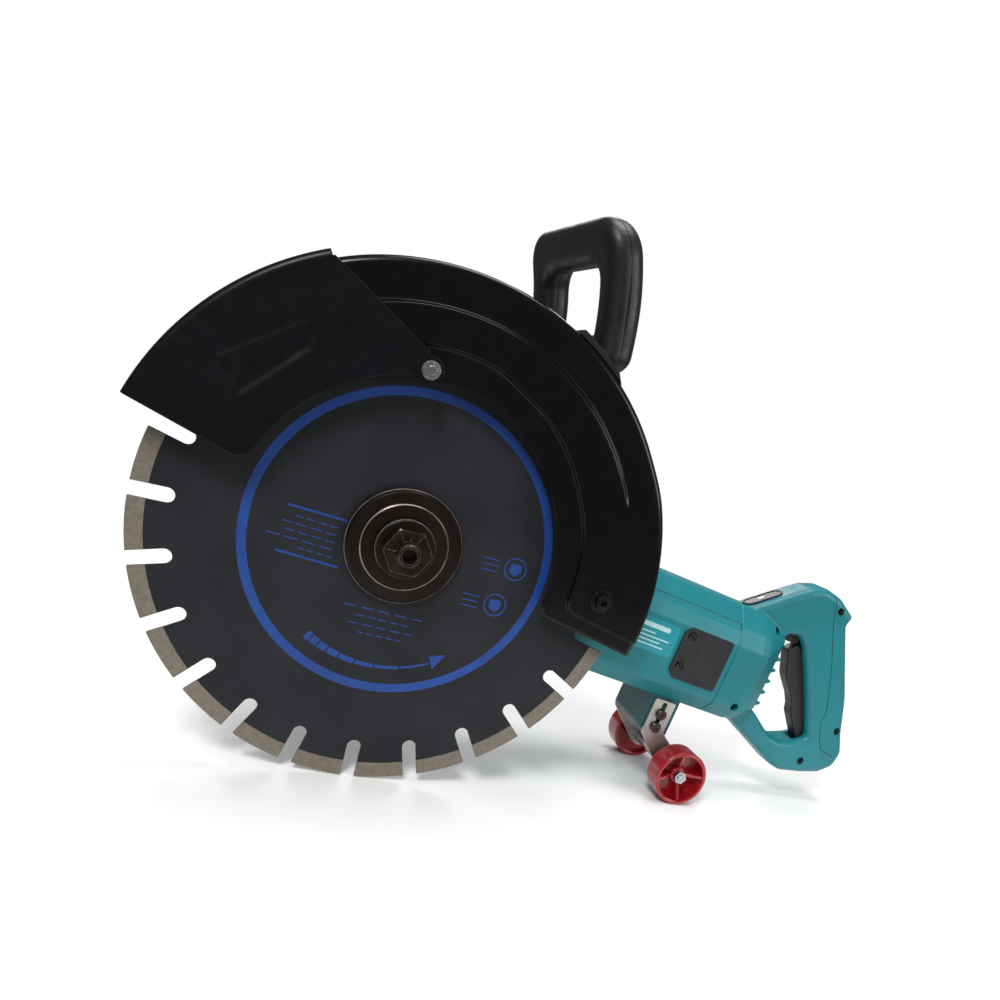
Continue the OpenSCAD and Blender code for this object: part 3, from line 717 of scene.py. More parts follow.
rowAngle = -0.09
wordRows = []
for row, (startX, endX) in enumerate([(-74, -43), (-82, -43), (-79, -43), (-90, -43), (-68, -43)]):
    for part in range(4):
        x0 = startX + (endX - startX) * part / 4
        x1 = startX + (endX - startX) * (part + 0.7 + 0.05 * (row % 2)) / 4
        y = 3.5 - 5.2 * row
        wordRows.append(((x0, y + rowAngle * (x0 + 60)), (x1, y + rowAngle * (x1 + 60))))
for row, halfLong in enumerate([30, 20, 25, 17]):
    for part in range(5):
        x0 = -halfLong + 2 * halfLong * part / 5
        x1 = x0 + 2 * halfLong * (0.66 + 0.06 * (part % 2)) / 5
        y = -50 - 6 * row
        wordRows.append(((x0, y + rowAngle * x0 * 0.6), (x1, y + rowAngle * x1 * 0.6)))
roundels = [(83.7, -0.4), (75.3, -29.4)]
for centreX, centreY in roundels:
    for row in range(3):
        wordRows.append(((centreX - 25, centreY + 4.5 - 4.2 * row), (centreX - 13, centreY + 4.0 - 4.2 * row)))
printing = joined(printedRing(printSize["ringIn"], printSize["ringOut"]),
                  printedBar((-80, 11.2), (-40.2, 8.4), printSize["barWide"]),
                  printedBar((-82, -20.6), (-39.5, -24.6), printSize["barWide"]),
                  printedArrow(printSize), printedRows(wordRows, 0.8))
for centre in roundels:
    glyph = roundPoly([(centre[0] - 4, centre[1] + 4), (centre[0] - 4.5, centre[1] - 2), (centre[0], centre[1] - 5.5),
                       (centre[0] + 4.5, centre[1] - 2), (centre[0] + 4, centre[1] + 4)], 1.5, 3)
    printing = joined(printing, printedRing(7.6, 8.6, centre), slab(glyph, printSize["low"], printSize["high"]))
addPiece("blade_print", shaped(printing), discPlace, "spindle_set", finishes["ink"])
print("blade made")

# Flanges, nut and spindle
outerFlange = [(8.05, 2.2), (30, 2.2), (32, 1.2), (40.4, 1.2), (40.7, 1.5), (40.7, 6.2), (40.2, 6.9), (38.4, 8.8),
               (38.0, 9.0), (31.2, 9.0), (30.6, 9.3), (29.6, 10.3), (29.2, 10.5), (8.05, 10.5)]
pressWasher = [(8.05, 10.5), (21.2, 10.5), (21.5, 10.8), (21.5, 12.9), (21.2, 13.4), (20.1, 16.6), (19.6, 17),
               (8.05, 17)]
addPiece("flange_ring", shaped(lathe(outerFlange, 128)), discPlace, "spindle_set", finishes["flange"],
         ("outer_flange",))
addPiece("press_washer", shaped(lathe(pressWasher, 96)), discPlace, "spindle_set", finishes["flange"],
         ("spindle_washer",))
nutHex = slab(hexLoop(17.32), 17, 28, [arcPoints(8.05, 0, 350, 35)])
nutCone = lathe([(0, 16), (18.2, 16), (18.2, 26.9), (16.5, 28), (0, 28)], 96)
addPiece("blade_nut", shaped(carve(nutHex, nutCone, "INTERSECT"), bevel=0.3), discPlace, "spindle_set",
         finishes["nut"], ("spindle_nut",))

# Fixed guard
guardSize = {"rim": 190, "start": -14, "end": 128, "rimBack": -14, "sheet": 1.6, "corner": 5,
             "strip": 17.2, "raised": 20, "flat": 16, "crease": 162, "stepWide": 1.7, "lowerStrip": 11,
             "cornerRound": 8}


def guardInner(angle):
    free = 106.5 + 3.8 * smoothStep(18, 44, angle) + 4.2 * smoothStep(44, 72, angle)
    along = math.radians(angle - guardSize["start"]) * free
    roundOff = guardSize["cornerRound"]
    if along < roundOff:
        free += roundOff - math.sqrt(max(roundOff ** 2 - (roundOff - along) ** 2, 0))
    return free


def guardBend(angle):
    return 123.5 + 4.0 * smoothStep(-5, 25, angle) + 5.0 * smoothStep(25, 62, angle) + 4 * smoothStep(62, 80, angle)


def guardHeight(radius, angle):
    inwards = radius - guardBend(angle)
    along = math.radians(angle - guardSize["start"]) * radius - guardSize["lowerStrip"]
    big = guardSize["cornerRound"]
    if inwards < big and along < big:
        inside = big - math.hypot(big - inwards, big - along)
    else:
        inside = min(inwards, along)
    rise = smoothStep(-guardSize["stepWide"] / 2, guardSize["stepWide"] / 2, inside)
    fall = smoothStep(guardSize["crease"] - 1.4, guardSize["crease"] + 1.4, radius) * smoothStep(22, 34, angle)
    return (guardSize["strip"] + (guardSize["raised"] - guardSize["strip"]) * rise
            - (guardSize["raised"] - guardSize["flat"]) * fall)


# rows run parallel to the lower edge first, then turn into rays; columns crowd round the two creases
def guardSheet(size):
    shape = bmesh.new()
    half = size["stepWide"] / 2
    nearEdge = [0, 2.5, 5, 7, 8.6] + [size["lowerStrip"] - 1.2 + 0.3 * k for k in range(9)]
    nearEdge += [size["lowerStrip"] + 1.8 + 0.65 * k for k in range(14)]
    last = nearEdge[-1]
    rowCount = 176

    def angleAt(row, radius):
        if row < len(nearEdge):
            return size["start"] + math.degrees(nearEdge[row] / radius)
        first = size["start"] + math.degrees(last / radius)
        return first + (size["end"] - first) * (row - len(nearEdge) + 1) / rowCount

    grid = []
    for row in range(len(nearEdge) + rowCount):
        middle = angleAt(row, 128)
        inner, outer = guardInner(middle), size["rim"] - size["corner"]
        bend = guardBend(middle)
        stops = [inner + (bend - half - inner) * k / 6 for k in range(6)]
        stops += [bend - half + 2 * half * k / 6 for k in range(6)]
        stops += [bend + half + (size["cornerRound"] - half) * k / 12 for k in range(12)]
        free = bend + size["cornerRound"]
        stops += [free + (size["crease"] - 1.4 - free) * k / 10 for k in range(10)]
        stops += [size["crease"] - 1.4 + 2.8 * k / 8 for k in range(8)]
        stops += [size["crease"] + 1.4 + (outer - size["crease"] - 1.4) * k / 8 for k in range(9)]
        line = [(radius, guardHeight(radius, angleAt(row, radius))) for radius in stops]
        top = line[-1][1]
        for k in range(1, 7):
            turn = math.pi / 2 * k / 6
            line.append((outer + size["corner"] * math.sin(turn), top - size["corner"] * (1 - math.cos(turn))))
        for k in range(1, 5):
            line.append((size["rim"], top - size["corner"] + (size["rimBack"] - top + size["corner"]) * k / 4))
        grid.append([shape.verts.new((*polar(radius, angleAt(row, radius)), height)) for radius, height in line])
    for row, after in zip(grid, grid[1:]):
        for k in range(len(row) - 1):
            shape.faces.new((row[k], row[k + 1], after[k + 1], after[k]))
    return shape


guardMesh = guardSheet(guardSize)
outward(guardMesh)
if sum(face.normal.z for face in guardMesh.faces) < 0:
    reverse(guardMesh)
addPiece("guard_sheet", shaped(guardMesh, wall=guardSize["sheet"], bevel=0.35, angle=60, flatShade=False), discPlace,
         "machine", finishes["guard"], ("guard_shell",))
flapLoop = arcPoints(156, -7.4, 5, 20) + arcPoints(131, 5, -7.4, 20)
addPiece("dust_flap_strip", shaped(slab(flapLoop, 15.4, 18.0), bevel=0.4), discPlace, "machine", finishes["rubber"],
         ("dust_flap",))

# Hinged front guard
visorSize = {"rim": 195, "start": 117, "end": 162.6, "near": 24, "far": -23, "sheet": 1.6, "corner": 4.5,
             "inner": 116, "pivotRadius": 120.7, "pivotAngle": 96.18, "ear": 9, "pressed": 1.1}
pressedPlate = [(-141, 92), (-92, 130), (-86, 121), (-88, 112), (-122, 74)]


def insideDistance(point, outline):
    closest = 1e9
    inside = False
    for a, b in zip(outline, outline[1:] + outline[:1]):
        edge = Vector(b) - Vector(a)
        t = min(max((Vector(point) - Vector(a)).dot(edge) / edge.length_squared, 0), 1)
        closest = min(closest, (Vector(point) - Vector(a) - edge * t).length)
        if (a[1] > point[1]) != (b[1] > point[1]):
            if point[0] < (b[0] - a[0]) * (point[1] - a[1]) / (b[1] - a[1]) + a[0]:
                inside = not inside
    return closest if inside else -closest


def earRadii(angle):
    apart = math.radians(angle - visorSize["pivotAngle"])
    reach = visorSize["ear"] ** 2 - (visorSize["pivotRadius"] * math.sin(apart)) ** 2
    if reach < 0:
        return None
    middle = visorSize["pivotRadius"] * math.cos(apart)
    return middle - math.sqrt(reach), middle + math.sqrt(reach)


def rearEdgeRadius(angle):
    a, b = Vector((-88, 172)), Vector((-8.0, 126.6))
    way = Vector(polar(1, angle))
    edge = b - a
    return (a.x * edge.y - a.y * edge.x) / (way.x * edge.y - way.y * edge.x)


def visorSpan(angle):
    inner, outer = visorSize["inner"], visorSize["rim"] - visorSize["corner"]
    ear = earRadii(angle)
    if angle < visorSize["start"]:
        outer = min(outer, rearEdgeRadius(angle))
    if ear and angle < visorSize["pivotAngle"] + 3:
        outer = ear[1] if angle < visorSize["pivotAngle"] - 0.2 else max(ear[1], outer if angle > 97 else ear[1])
        inner = max(inner, ear[0])
    along = math.radians(visorSize["end"] - angle) * inner
    roundOff = 10
    if along < roundOff:
        inner += roundOff - math.sqrt(max(roundOff ** 2 - (roundOff - along) ** 2, 0))
    return inner, max(outer, inner + 0.2)


def visorSheet(size):
    shape = bmesh.new()
    low = size["pivotAngle"] - math.degrees(math.asin(size["ear"] / size["pivotRadius"])) + 0.03
    angles = [low + (size["start"] - low) * k / 60 for k in range(60)]
    angles += [size["start"] + (size["end"] - size["start"]) * k / 70 for k in range(71)]
    across, bendSteps, rimSteps = 44, 6, 5
    grid = []
    for angle in angles:
        inner, outer = visorSpan(angle)
        line = []
        for k in range(across + 1):
            radius = inner + (outer - inner) * k / across
            depth = insideDistance(polar(radius, angle), pressedPlate)
            line.append((radius, size["near"] - size["pressed"] * smoothStep(-1.2, 2.2, depth)))
        side = size["rim"] - size["corner"]
        for k in range(1, bendSteps + 1):
            turn = math.pi / 2 * k / bendSteps
            line.append((side + size["corner"] * math.sin(turn),
                         size["near"] - size["corner"] * (1 - math.cos(turn))))
        top, bottom = size["near"] - size["corner"], size["far"] + size["corner"]
        line += [(size["rim"], top + (bottom - top) * k / rimSteps) for k in range(1, rimSteps + 1)]
        for k in range(1, bendSteps):
            turn = math.pi / 2 * k / bendSteps
            line.append((side + size["corner"] * math.cos(turn), bottom - size["corner"] * math.sin(turn)))
        line += [(outer + (inner - outer) * k / 12, size["far"]) for k in range(13)]
        grid.append((angle, [shape.verts.new((*polar(radius, angle), height)) for radius, height in line]))
    for (angle, row), (_, after) in zip(grid, grid[1:]):
        for k in range(len(row) - 1):
            onRim = across <= k < len(row) - 13
            if onRim and angle < size["start"] - 0.01:
                continue
            shape.faces.new((row[k], row[k + 1], after[k + 1], after[k]))
    loose = [vert for vert in shape.verts if not vert.link_faces]
    bmesh.ops.delete(shape, geom=loose, context="VERTS")
    return shape


visorMesh = visorSheet(visorSize)
bmesh.ops.remove_doubles(visorMesh, verts=visorMesh.verts[:], dist=0.02)
outward(visorMesh)
nearFace = max(visorMesh.faces, key=lambda face: face.calc_center_median().z)
if nearFace.normal.z < 0:
    reverse(visorMesh)
addPiece("front_guard_sheet", shaped(visorMesh, wall=visorSize["sheet"], bevel=0.35, angle=60, flatShade=False),
         discPlace, "front_guard", finishes["visor"], ("front_guard",))
print("guards made")


# Screw heads
lobes, lobeDepth = 6, 0.28  # count of the socket's lobes, and their depth as a share of its radius


def lobedHole(radius):
    return [polar(radius * (1 - lobeDepth / 2 + lobeDepth / 2 * math.cos(math.radians(lobes * angle))), angle)
            for angle in range(0, 360, 6)]


def screwHead(radius, height, hole, floor, lip=0.4):
    head = lathe([(0, 0), (radius, 0), (radius, height - lip), (radius - lip, height), (0, height)], 48)
    return carve(head, slab(hole, floor, height + 1))


flapScrew = {"spot": (148, -7), "radius": 5.2, "height": 5, "washer": 8.5}
flapHead = screwHead(flapScrew["radius"], flapScrew["height"], roundPoly(hexLoop(3.1), 0.2, 2), 2)
flapWasher = lathe([(3, 20), (flapScrew["washer"] - 0.4, 20), (flapScrew["washer"], 20.4),
                    (flapScrew["washer"], 20.9), (flapScrew["washer"] - 0.4, 21.2), (3, 21.2)], 64)
flapParts = joined(moved(flapHead, *flapScrew["spot"], 21.2), moved(flapWasher, *flapScrew["spot"], 0),
                   moved(lathe([(0, 7.2), (3, 7.2), (3, 21.2), (0, 21.2)], 32), *flapScrew["spot"], 0),
                   moved(slab(hexLoop(5.77), 10.4, 15.4), *flapScrew["spot"], 0))
addPiece("flap_screw_set", shaped(flapParts), discPlace, "machine", finishes["visor"],
         ("dust_flap_screw",))


# Motor housing
housingSize = {"front": 78, "rear": 304.7, "collar": 14}
sectionRight = [(30, -50), (45, -35.5), (45, 18.5), (38.9, 30.2), (37.0, 31.0), (34.2, 35.4), (35.0, 36.2), (22, 50)]
sectionRadii = [9, 9, 9, 0.5, 0.5, 0.5, 0.5, 6]
sectionLoop = roundPoly(sectionRight + [(-x, y) for x, y in reversed(sectionRight)],
                        sectionRadii + sectionRadii[::-1], 5)
collarRight = [(30, -50), (45, -35.5), (45, 18.5), (37, 34), (22, 50)]
collarLoop = roundPoly(collarRight + [(-x, y) for x, y in reversed(collarRight)], [9, 9, 9, 9, 6, 6, 9, 9, 9, 9], 5)
# drawn with x to the near side and y up, then turned so that z runs along the motor
alongMotor = bodyPlace @ Matrix(((0, 0, 1, 0), (-1, 0, 0, 0), (0, 1, 0, 0), (0, 0, 0, 1)))


def hollowBar(loop, low, high, inset):
    return slab(loop, low, high, [insetLoop(loop if signedArea(loop) > 0 else loop[::-1], inset)])


barrel = hollowBar(sectionLoop, housingSize["front"] + housingSize["collar"], housingSize["rear"], 4.2)
collar = hollowBar(collarLoop, housingSize["front"], housingSize["front"] + housingSize["collar"] + 0.4, 4.0)
addPiece("motor_barrel", shaped(joined(barrel, collar), bevel=0.5), alongMotor, "machine", finishes["teal"],
         ("motor_housing",))
block = slab(roundPoly([(258, -83), (285, -83), (285, -47), (258, -47)], [5, 3, 1, 1], 4), -30.2, 30.2)
addPiece("wheel_block", shaped(block, bevel=1.2, segments=3), sidePlace, "machine", finishes["tealDark"])

# Label on the housing
labelSize = {"left": 205, "right": 247, "low": -14, "high": 14, "face": 45.02}
labelLoop = roundPoly([(labelSize["left"], labelSize["low"]), (labelSize["right"], labelSize["low"]),
                       (labelSize["right"], labelSize["high"]), (labelSize["left"], labelSize["high"])], 4, 5)
addPiece("housing_label", shaped(slab(labelLoop, labelSize["face"] - 0.3, labelSize["face"] + 0.15)), sidePlace,
         "machine", finishes["label"])
labelBars = [((210, 8), (238, 8), 4.0), ((210, 2), (226, 2), 1.0), ((210, -1.5), (241, -1.5), 1.1),
             ((210, -5), (233, -5), 1.1), ((210, -8.5), (238, -8.5), 1.1)]
barShapes = []
for start, end, wide in labelBars:
    bar = roundPoly([(start[0], start[1] - wide / 2), (end[0], end[1] - wide / 2), (end[0], end[1] + wide / 2),
                     (start[0], start[1] + wide / 2)], wide * 0.3, 3)
    barShapes.append(slab(bar, labelSize["face"] + 0.05, labelSize["face"] + 0.22))
addPiece("label_bars", shaped(joined(*barShapes)), sidePlace, "machine", finishes["labelInk"])

# Brush covers
coverSize = {"face": 46.6, "back": 44, "screwX": 257.5, "screwHeights": (-16, 11)}
coverLoop = roundPoly([(256.5, 18.4), (251, 13), (251, -22), (256.5, -27.4), (299.5, -27.4), (299.5, 18.4)],
                      [2, 2, 2, 2, 3, 3], 4)


def coverShape():
    cover = slab(coverLoop, coverSize["back"], coverSize["face"] - 0.2)
    for height in coverSize["screwHeights"]:
        well = lathe([(0, coverSize["face"] - 0.9), (4.3, coverSize["face"] - 0.9), (4.3, 60), (0, 60)], 40)
        cover = carve(cover, moved(well, coverSize["screwX"] + 1, height))
    strokes = [((278, -3), (276.6, 3)), ((281.5, -3), (279, 3.4)), ((283, 3.4), (285.2, -3)), ((268, -4), (268, 2))]
    for start, end in strokes:
        side = (Vector(end) - Vector(start)).normalized() * 0.35
        corners = [(start[0] + side.y, start[1] - side.x), (end[0] + side.y, end[1] - side.x),
                   (end[0] - side.y, end[1] + side.x), (start[0] - side.y, start[1] + side.x)]
        cover = carve(cover, slab(corners, coverSize["face"] - 0.5, coverSize["face"] + 1))
    return shaped(cover, bevel=0.45)


for sideName, turnOver in (("near", Matrix.Identity(4)), ("far", farSide)):
    addPiece("brush_cover_lid_" + sideName, coverShape(), sidePlace @ turnOver, "machine", finishes["black"],
             ("brush_cover_" + sideName,))
coverHead = shaped(screwHead(3.4, 1.3, lobedHole(1.9), 0.3, 0.35), bevel=0.12)
coverHead.transform(Matrix.Translation((coverSize["screwX"] + 1, coverSize["screwHeights"][0],
                                        coverSize["face"] - 1.0)))
coverStep = (0, coverSize["screwHeights"][1] - coverSize["screwHeights"][0], 0)
coverPair = repeated(coverHead, straightRow, finishes["black"], {"Count": 2, "Step": coverStep})
addPiece("brush_cover_screw_heads", shaped(bothSides(coverPair)), sidePlace, "machine", finishes["nut"],
         ("brush_cover_screws",))
print("motor housing made")

# Rear housing
rearSize = {"gripHalf": 16, "fillet": 6.5, "seam": 0.12, "voxel": 1.0, "front": 305.3}
rearOutline = [(318, -38), (318, 48), (331, 57.5), (359, 79), (372, 88), (388, 93.5), (407, 90), (428, 79),
               (425, 69), (462, 4.3), (476, -29), (486, -47.5), (483, -63), (470, -73), (450, -78.6),
               (427, -83), (415, -80.5), (400, -73.3), (358, -54.7), (335, -45)]
rearRadii = [2, 2, 12, 16, 16, 14, 10, 4, 5, 30, 20, 12, 10, 12, 12, 12, 12, 20, 20, 8]
rearWindow = [(366, 33), (371, 41.4), (383, 43.4), (393.5, 34), (420.6, -9.3), (440, -43.7), (430, -50.3),
              (413, -56), (398, -53.4), (377, -40), (366, -34.4)]
rearRadiiIn = [5, 6, 7, 14, 20, 5, 8, 8, 12, 12, 5]
triggerRoom = [(372, 40), (372, 54), (392, 56), (399, 48), (412.5, 38), (432.5, -4), (450, -38), (454, -60),
               (433, -61), (424, -42), (400, 18), (385, 38)]
gripScrews = [(352, 40), (410, 79), (443, -67), (467, -28), (328, -34)]


def rearBlank(size):
    loop = slab(roundPoly(rearOutline, rearRadii, 5), -size["gripHalf"], size["gripHalf"],
                [roundPoly(rearWindow, rearRadiiIn, 5)], fillet=size["fillet"], steps=6)
    cup = bmesh.new()
    for along, inset in ((size["front"], 0), (331, 0), (340, 2.0)):
        for x, y in insetLoop(collarLoop if signedArea(collarLoop) > 0 else collarLoop[::-1], inset):
            cup.verts.new((along, y, x))
    for x, y in roundPoly([(-16, -38), (16, -38), (16, 38), (-16, 38)], 5, 4):
        cup.verts.new((368, y, x))
    hull = bmesh.ops.convex_hull(cup, input=cup.verts[:])
    bmesh.ops.delete(cup, geom=list({g for g in hull["geom_interior"] if isinstance(g, bmesh.types.BMVert)}),
                     context="VERTS")
    outward(cup)
    return joined(loop, cup)


def fused(shape, voxel, passes):
    holder = toHolder("fused", shape)
    melt = holder.modifiers.new("melt", "REMESH")
    melt.mode, melt.voxel_size, melt.use_smooth_shade = "VOXEL", voxel, True
    relax = holder.modifiers.new("relax", "SMOOTH")
    relax.factor, relax.iterations = 0.5, passes
    return fromMesh(bakeHolder(holder))


rearWhole = fused(rearBlank(rearSize), rearSize["voxel"], 3)
rearWhole = carve(rearWhole, slab(triggerRoom, -8, 8))
for spotX, spotY in gripScrews:
    depth = 30 if (spotX, spotY) == gripScrews[4] else 13.4
    for flip in (1, -1):
        tool = lathe([(0, depth), (3.8, depth), (3.8, 70), (0, 70)], 32)
        bmesh.ops.transform(tool, matrix=Matrix.Translation((spotX, spotY, 0)) @ Matrix.Scale(flip, 4, (0, 0, 1)),
                            verts=tool.verts[:])
        outward(tool)
        rearWhole = carve(rearWhole, tool)


def halfOf(shape, side):
    half = shape.copy()
    bmesh.ops.bisect_plane(half, geom=half.verts[:] + half.edges[:] + half.faces[:], dist=0.0001,
                           plane_co=(0, 0, rearSize["seam"] * side), plane_no=(0, 0, side), clear_inner=True)
    rim = [edge for edge in half.edges if edge.is_boundary]
    bmesh.ops.triangle_fill(half, use_beauty=True, use_dissolve=False, edges=rim)
    outward(half)
    return half


nearHalf, farHalf = halfOf(rearWhole, 1), halfOf(rearWhole, -1)
rearWhole.free()
seamTarget = toHolder("seam_target", nearHalf.copy())
for sideName, half in (("near", nearHalf), ("far", farHalf)):
    addPiece("rear_moulding_" + sideName, shaped(half, flatShade=False), sidePlace, "machine", finishes["teal"],
             ("rear_housing_" + sideName,))


# A thin dark line laid on the near moulding
def surfaceLine(points, wide, target):
    shape = bmesh.new()
    path = []
    for a, b in zip(points, points[1:]):
        steps = max(int((Vector(b) - Vector(a)).length / 1.0), 1)
        path += [Vector(a).lerp(Vector(b), k / steps) for k in range(steps)]
    path.append(Vector(points[-1]))
    rows = []
    for k, spot in enumerate(path):
        along = (path[min(k + 1, len(path) - 1)] - path[max(k - 1, 0)]).normalized() * wide / 2
        rows.append([shape.verts.new((spot.x - along.y * s, spot.y + along.x * s, 60)) for s in (-1, 1)])
    for a, b in zip(rows, rows[1:]):
        shape.faces.new((a[0], a[1], b[1], b[0]))
    outward(shape)
    if shape.faces[:][0].normal.z < 0:
        reverse(shape)
    holder = toHolder("line", shape)
    lay = holder.modifiers.new("lay", "SHRINKWRAP")
    lay.target, lay.wrap_method, lay.wrap_mode, lay.offset = target, "PROJECT", "ABOVE_SURFACE", 0.06
    lay.use_project_z, lay.use_negative_direction, lay.use_positive_direction = True, True, False
    thicken = holder.modifiers.new("depth", "SOLIDIFY")
    thicken.thickness, thicken.offset = 0.35, -1
    return fromMesh(bakeHolder(holder))


coverLine = [(397.5, 91.5), (402, 84), (407, 68), (429, 26), (444, -10), (446, -18), (444.5, -24), (453, -42),
             (459, -50), (470, -52), (476, -53)]
seamShapes = surfaceLine(roundPoly(coverLine, [0, 3, 6, 10, 6, 3, 3, 8, 4, 3, 0], 3), 0.7, seamTarget)
addPiece("grip_seam_line", shaped(seamShapes, flatShade=False), sidePlace, "machine", finishes["seam"])
bpy.data.objects.remove(seamTarget)

# Vent fins at the front of the grip's gap
finSize = {"count": 5, "pitch": 11.2, "first": -32, "root": 366.5, "tip": 374.6, "high": 6.4, "half": 12.6}
finLoop = roundPoly([(finSize["root"], finSize["first"] - 2.2), (finSize["tip"], finSize["first"] + 2.6),
                     (finSize["tip"], finSize["first"] + 4.4), (finSize["root"], finSize["first"] + finSize["high"])],
                    [0.5, 1.2, 1.2, 0.5], 4)
fin = shaped(slab(finLoop, -finSize["half"], finSize["half"]), bevel=0.5)
finRow = repeated(fin, straightRow, finishes["teal"], {"Count": finSize["count"], "Step": (0, finSize["pitch"], 0)})
addPiece("vent_fins", finRow, sidePlace, "machine", finishes["teal"])
backing = slab(roundPoly([(364, -34), (368.6, -34), (368.6, 22), (364, 22)], 0.8, 3), -11.5, 11.5)
addPiece("vent_backing", shaped(backing, bevel=0.4), sidePlace, "machine", finishes["black"])

# Screws in the rear housing
gripHead = shaped(screwHead(3.4, 1.8, lobedHole(1.8), 0.5, 0.5), bevel=0.12)
headSpots = [(x, y, 30.2 if (x, y) == gripScrews[4] else 13.5) for x, y in gripScrews]
spotPoints = spotHolder(headSpots)
gripHeads = repeated(gripHead, onSpots, finishes["black"], {"Spots": spotPoints})
bpy.data.objects.remove(spotPoints)
addPiece("grip_screw_heads", gripHeads, sidePlace, "machine", finishes["nut"], ("handle_screws",))

# Indicator window on the top arm
windowSize = {"long": 19.6, "half": 7.6, "frame": 2.0, "high": 2.6, "lens": 1.9, "low": -4}
windowPlace = bodyPlace @ Matrix.Translation((337, 0, 61)) @ Matrix.Rotation(math.radians(-37), 4, "Y")


def ovalLoop(long, half):
    return roundPoly([(-long, -half), (long, -half), (long, half), (-long, half)], half * 0.92, 8)


frameRing = slab(ovalLoop(windowSize["long"], windowSize["half"]), windowSize["low"], windowSize["high"],
                 [ovalLoop(windowSize["long"] - windowSize["frame"], windowSize["half"] - windowSize["frame"])])
addPiece("window_frame", shaped(frameRing, bevel=0.6, segments=3), windowPlace, "machine", finishes["black"],
         ("indicator_window",))
lens = slab(ovalLoop(windowSize["long"] - 2, windowSize["half"] - 2), windowSize["low"], windowSize["lens"])
addPiece("window_lens", shaped(lens, bevel=0.3), windowPlace, "machine", finishes["lens"])
lamp = slab(roundPoly([(-4.5, -2.2), (5, 0), (-4.5, 2.2)], 1.0, 4), 1, windowSize["lens"] + 0.25)
addPiece("window_lamp", shaped(lamp, bevel=0.2), windowPlace, "machine", finishes["lamp"])

# Trigger and lock
triggerLoop = roundPoly([(382, 27), (391, 35), (400, 30), (424, -8), (446, -46), (444, -52), (437, -53), (427, -42),
                         (416, -29), (413.5, -21.5), (407, -12), (396, -1), (392, 4)],
                        [3, 3, 4, 8, 2.5, 2, 2, 5, 4, 4, 5, 4, 4], 4)
addPiece("trigger_paddle", shaped(slab(triggerLoop, -7, 7, fillet=2.0, steps=4)), sidePlace, "trigger",
         finishes["black"], ("trigger",))
lockLoop = roundPoly([(372.5, 38), (372.5, 49), (389.5, 49), (389.5, 38), (387, 34.5), (375, 34.5)],
                     [1, 0.8, 0.8, 1, 0.8, 0.8], 3)
addPiece("lock_block", shaped(slab(lockLoop, -6.5, 6.5, fillet=1.0, steps=3)), sidePlace, "lock_button",
         finishes["black"], ("lock_button",))
print("rear housing made")

# Front handle
handleSize = {"half": 14, "fillet": 11.2, "grooveHalf": 0.3, "grooveDeep": 0.9, "barHalf": 12, "voxel": 1.0, "bow": 6,
              "tall": 104}
handleArch = roundPoly([(0, -3), (28, -3), (28, 73), (116, 73), (116, 11), (142, 11), (142, 104), (0, 104)],
                       [12, 12, 14, 14, 12, 12, 26, 26], 10)
handleFoot = roundPoly([(14, 12), (130, 12), (130, 24), (14, 24)], 5.5, 6)
acrossHandle = handlePlace @ Matrix(((0, 0, 1, 0), (1, 0, 0, 0), (0, 1, 0, 0), (0, 0, 0, 1)))
arch = slab(handleArch, -handleSize["half"], handleSize["half"], fillet=handleSize["fillet"], steps=8)
footBar = slab(handleFoot, -handleSize["barHalf"], handleSize["barHalf"], fillet=4, steps=4)
ring = fused(joined(arch, footBar), handleSize["voxel"], 4)
outside = roundPoly([(-20, -30), (170, -30), (170, 130), (-20, 130)], 3, 2)
seamCut = slab(outside, -handleSize["grooveHalf"], handleSize["grooveHalf"],
               [insetLoop(handleArch if signedArea(handleArch) > 0 else handleArch[::-1],
                          handleSize["grooveDeep"])])
ring = carve(ring, seamCut)
clear = lathe([(0, -30), (195.2, -30), (195.2, 30), (0, 30)], 256)
clear.transform(acrossHandle.inverted() @ discPlace)
outward(clear)
for vert in ring.verts:
    rise = min(max(vert.co.y / handleSize["tall"], 0), 1)
    vert.co.z += handleSize["bow"] * math.sin(math.pi * rise)
addPiece("front_handle_loop", shaped(carve(ring, clear), flatShade=False), acrossHandle, "machine", finishes["grip"],
         ("front_handle",))
footLoop = arcPoints(190.15, 50.5, 64.5, 20) + arcPoints(195, 64.5, 53.5, 16)
addPiece("handle_foot_pad", shaped(slab(footLoop, -12, 13), bevel=1.2, segments=3), discPlace, "machine",
         finishes["grip"], ("handle_foot",))

# Wheel bracket
plateSize = {"near": 30.5, "thick": 3, "slotHalf": 2.2, "endRadius": 2.6}
plateLoop = roundPoly([(260, -51.5), (260, -84), (291.5, -112), (300.4, -116), (310.8, -107), (308.5, -98.5),
                       (280, -79), (280, -51.5)], [1.5, 6, 6, 9, 9, 6, 6, 1.5], 6)
slotLoop = ([(270 - plateSize["slotHalf"], -74.6)] + arcPoints(plateSize["endRadius"], 148, 392, 14, (270, -76))
            + [(270 + plateSize["slotHalf"], -74.6), (270 + plateSize["slotHalf"], -56.9)]
            + arcPoints(plateSize["endRadius"], -32, 212, 14, (270, -55.5))
            + [(270 - plateSize["slotHalf"], -56.9)])
for sideName, turnOver in (("near", Matrix.Identity(4)), ("far", farSide)):
    plate = slab(plateLoop, plateSize["near"], plateSize["near"] + plateSize["thick"],
                 [slotLoop, arcPoints(3, 0, 350, 35, (300.4, -105.5))])
    addPiece("bracket_sheet_" + sideName, shaped(plate, bevel=0.35), sidePlace @ turnOver, "wheel_bracket",
             finishes["plate"], ("bracket_plate_" + sideName,))
bracketHead = shaped(screwHead(4.6, 3, roundPoly(hexLoop(1.9), 0.1, 2), 1.4, 0.6),
                     bevel=0.15)
bracketHead.transform(Matrix.Translation((270, -76, 33.8)))
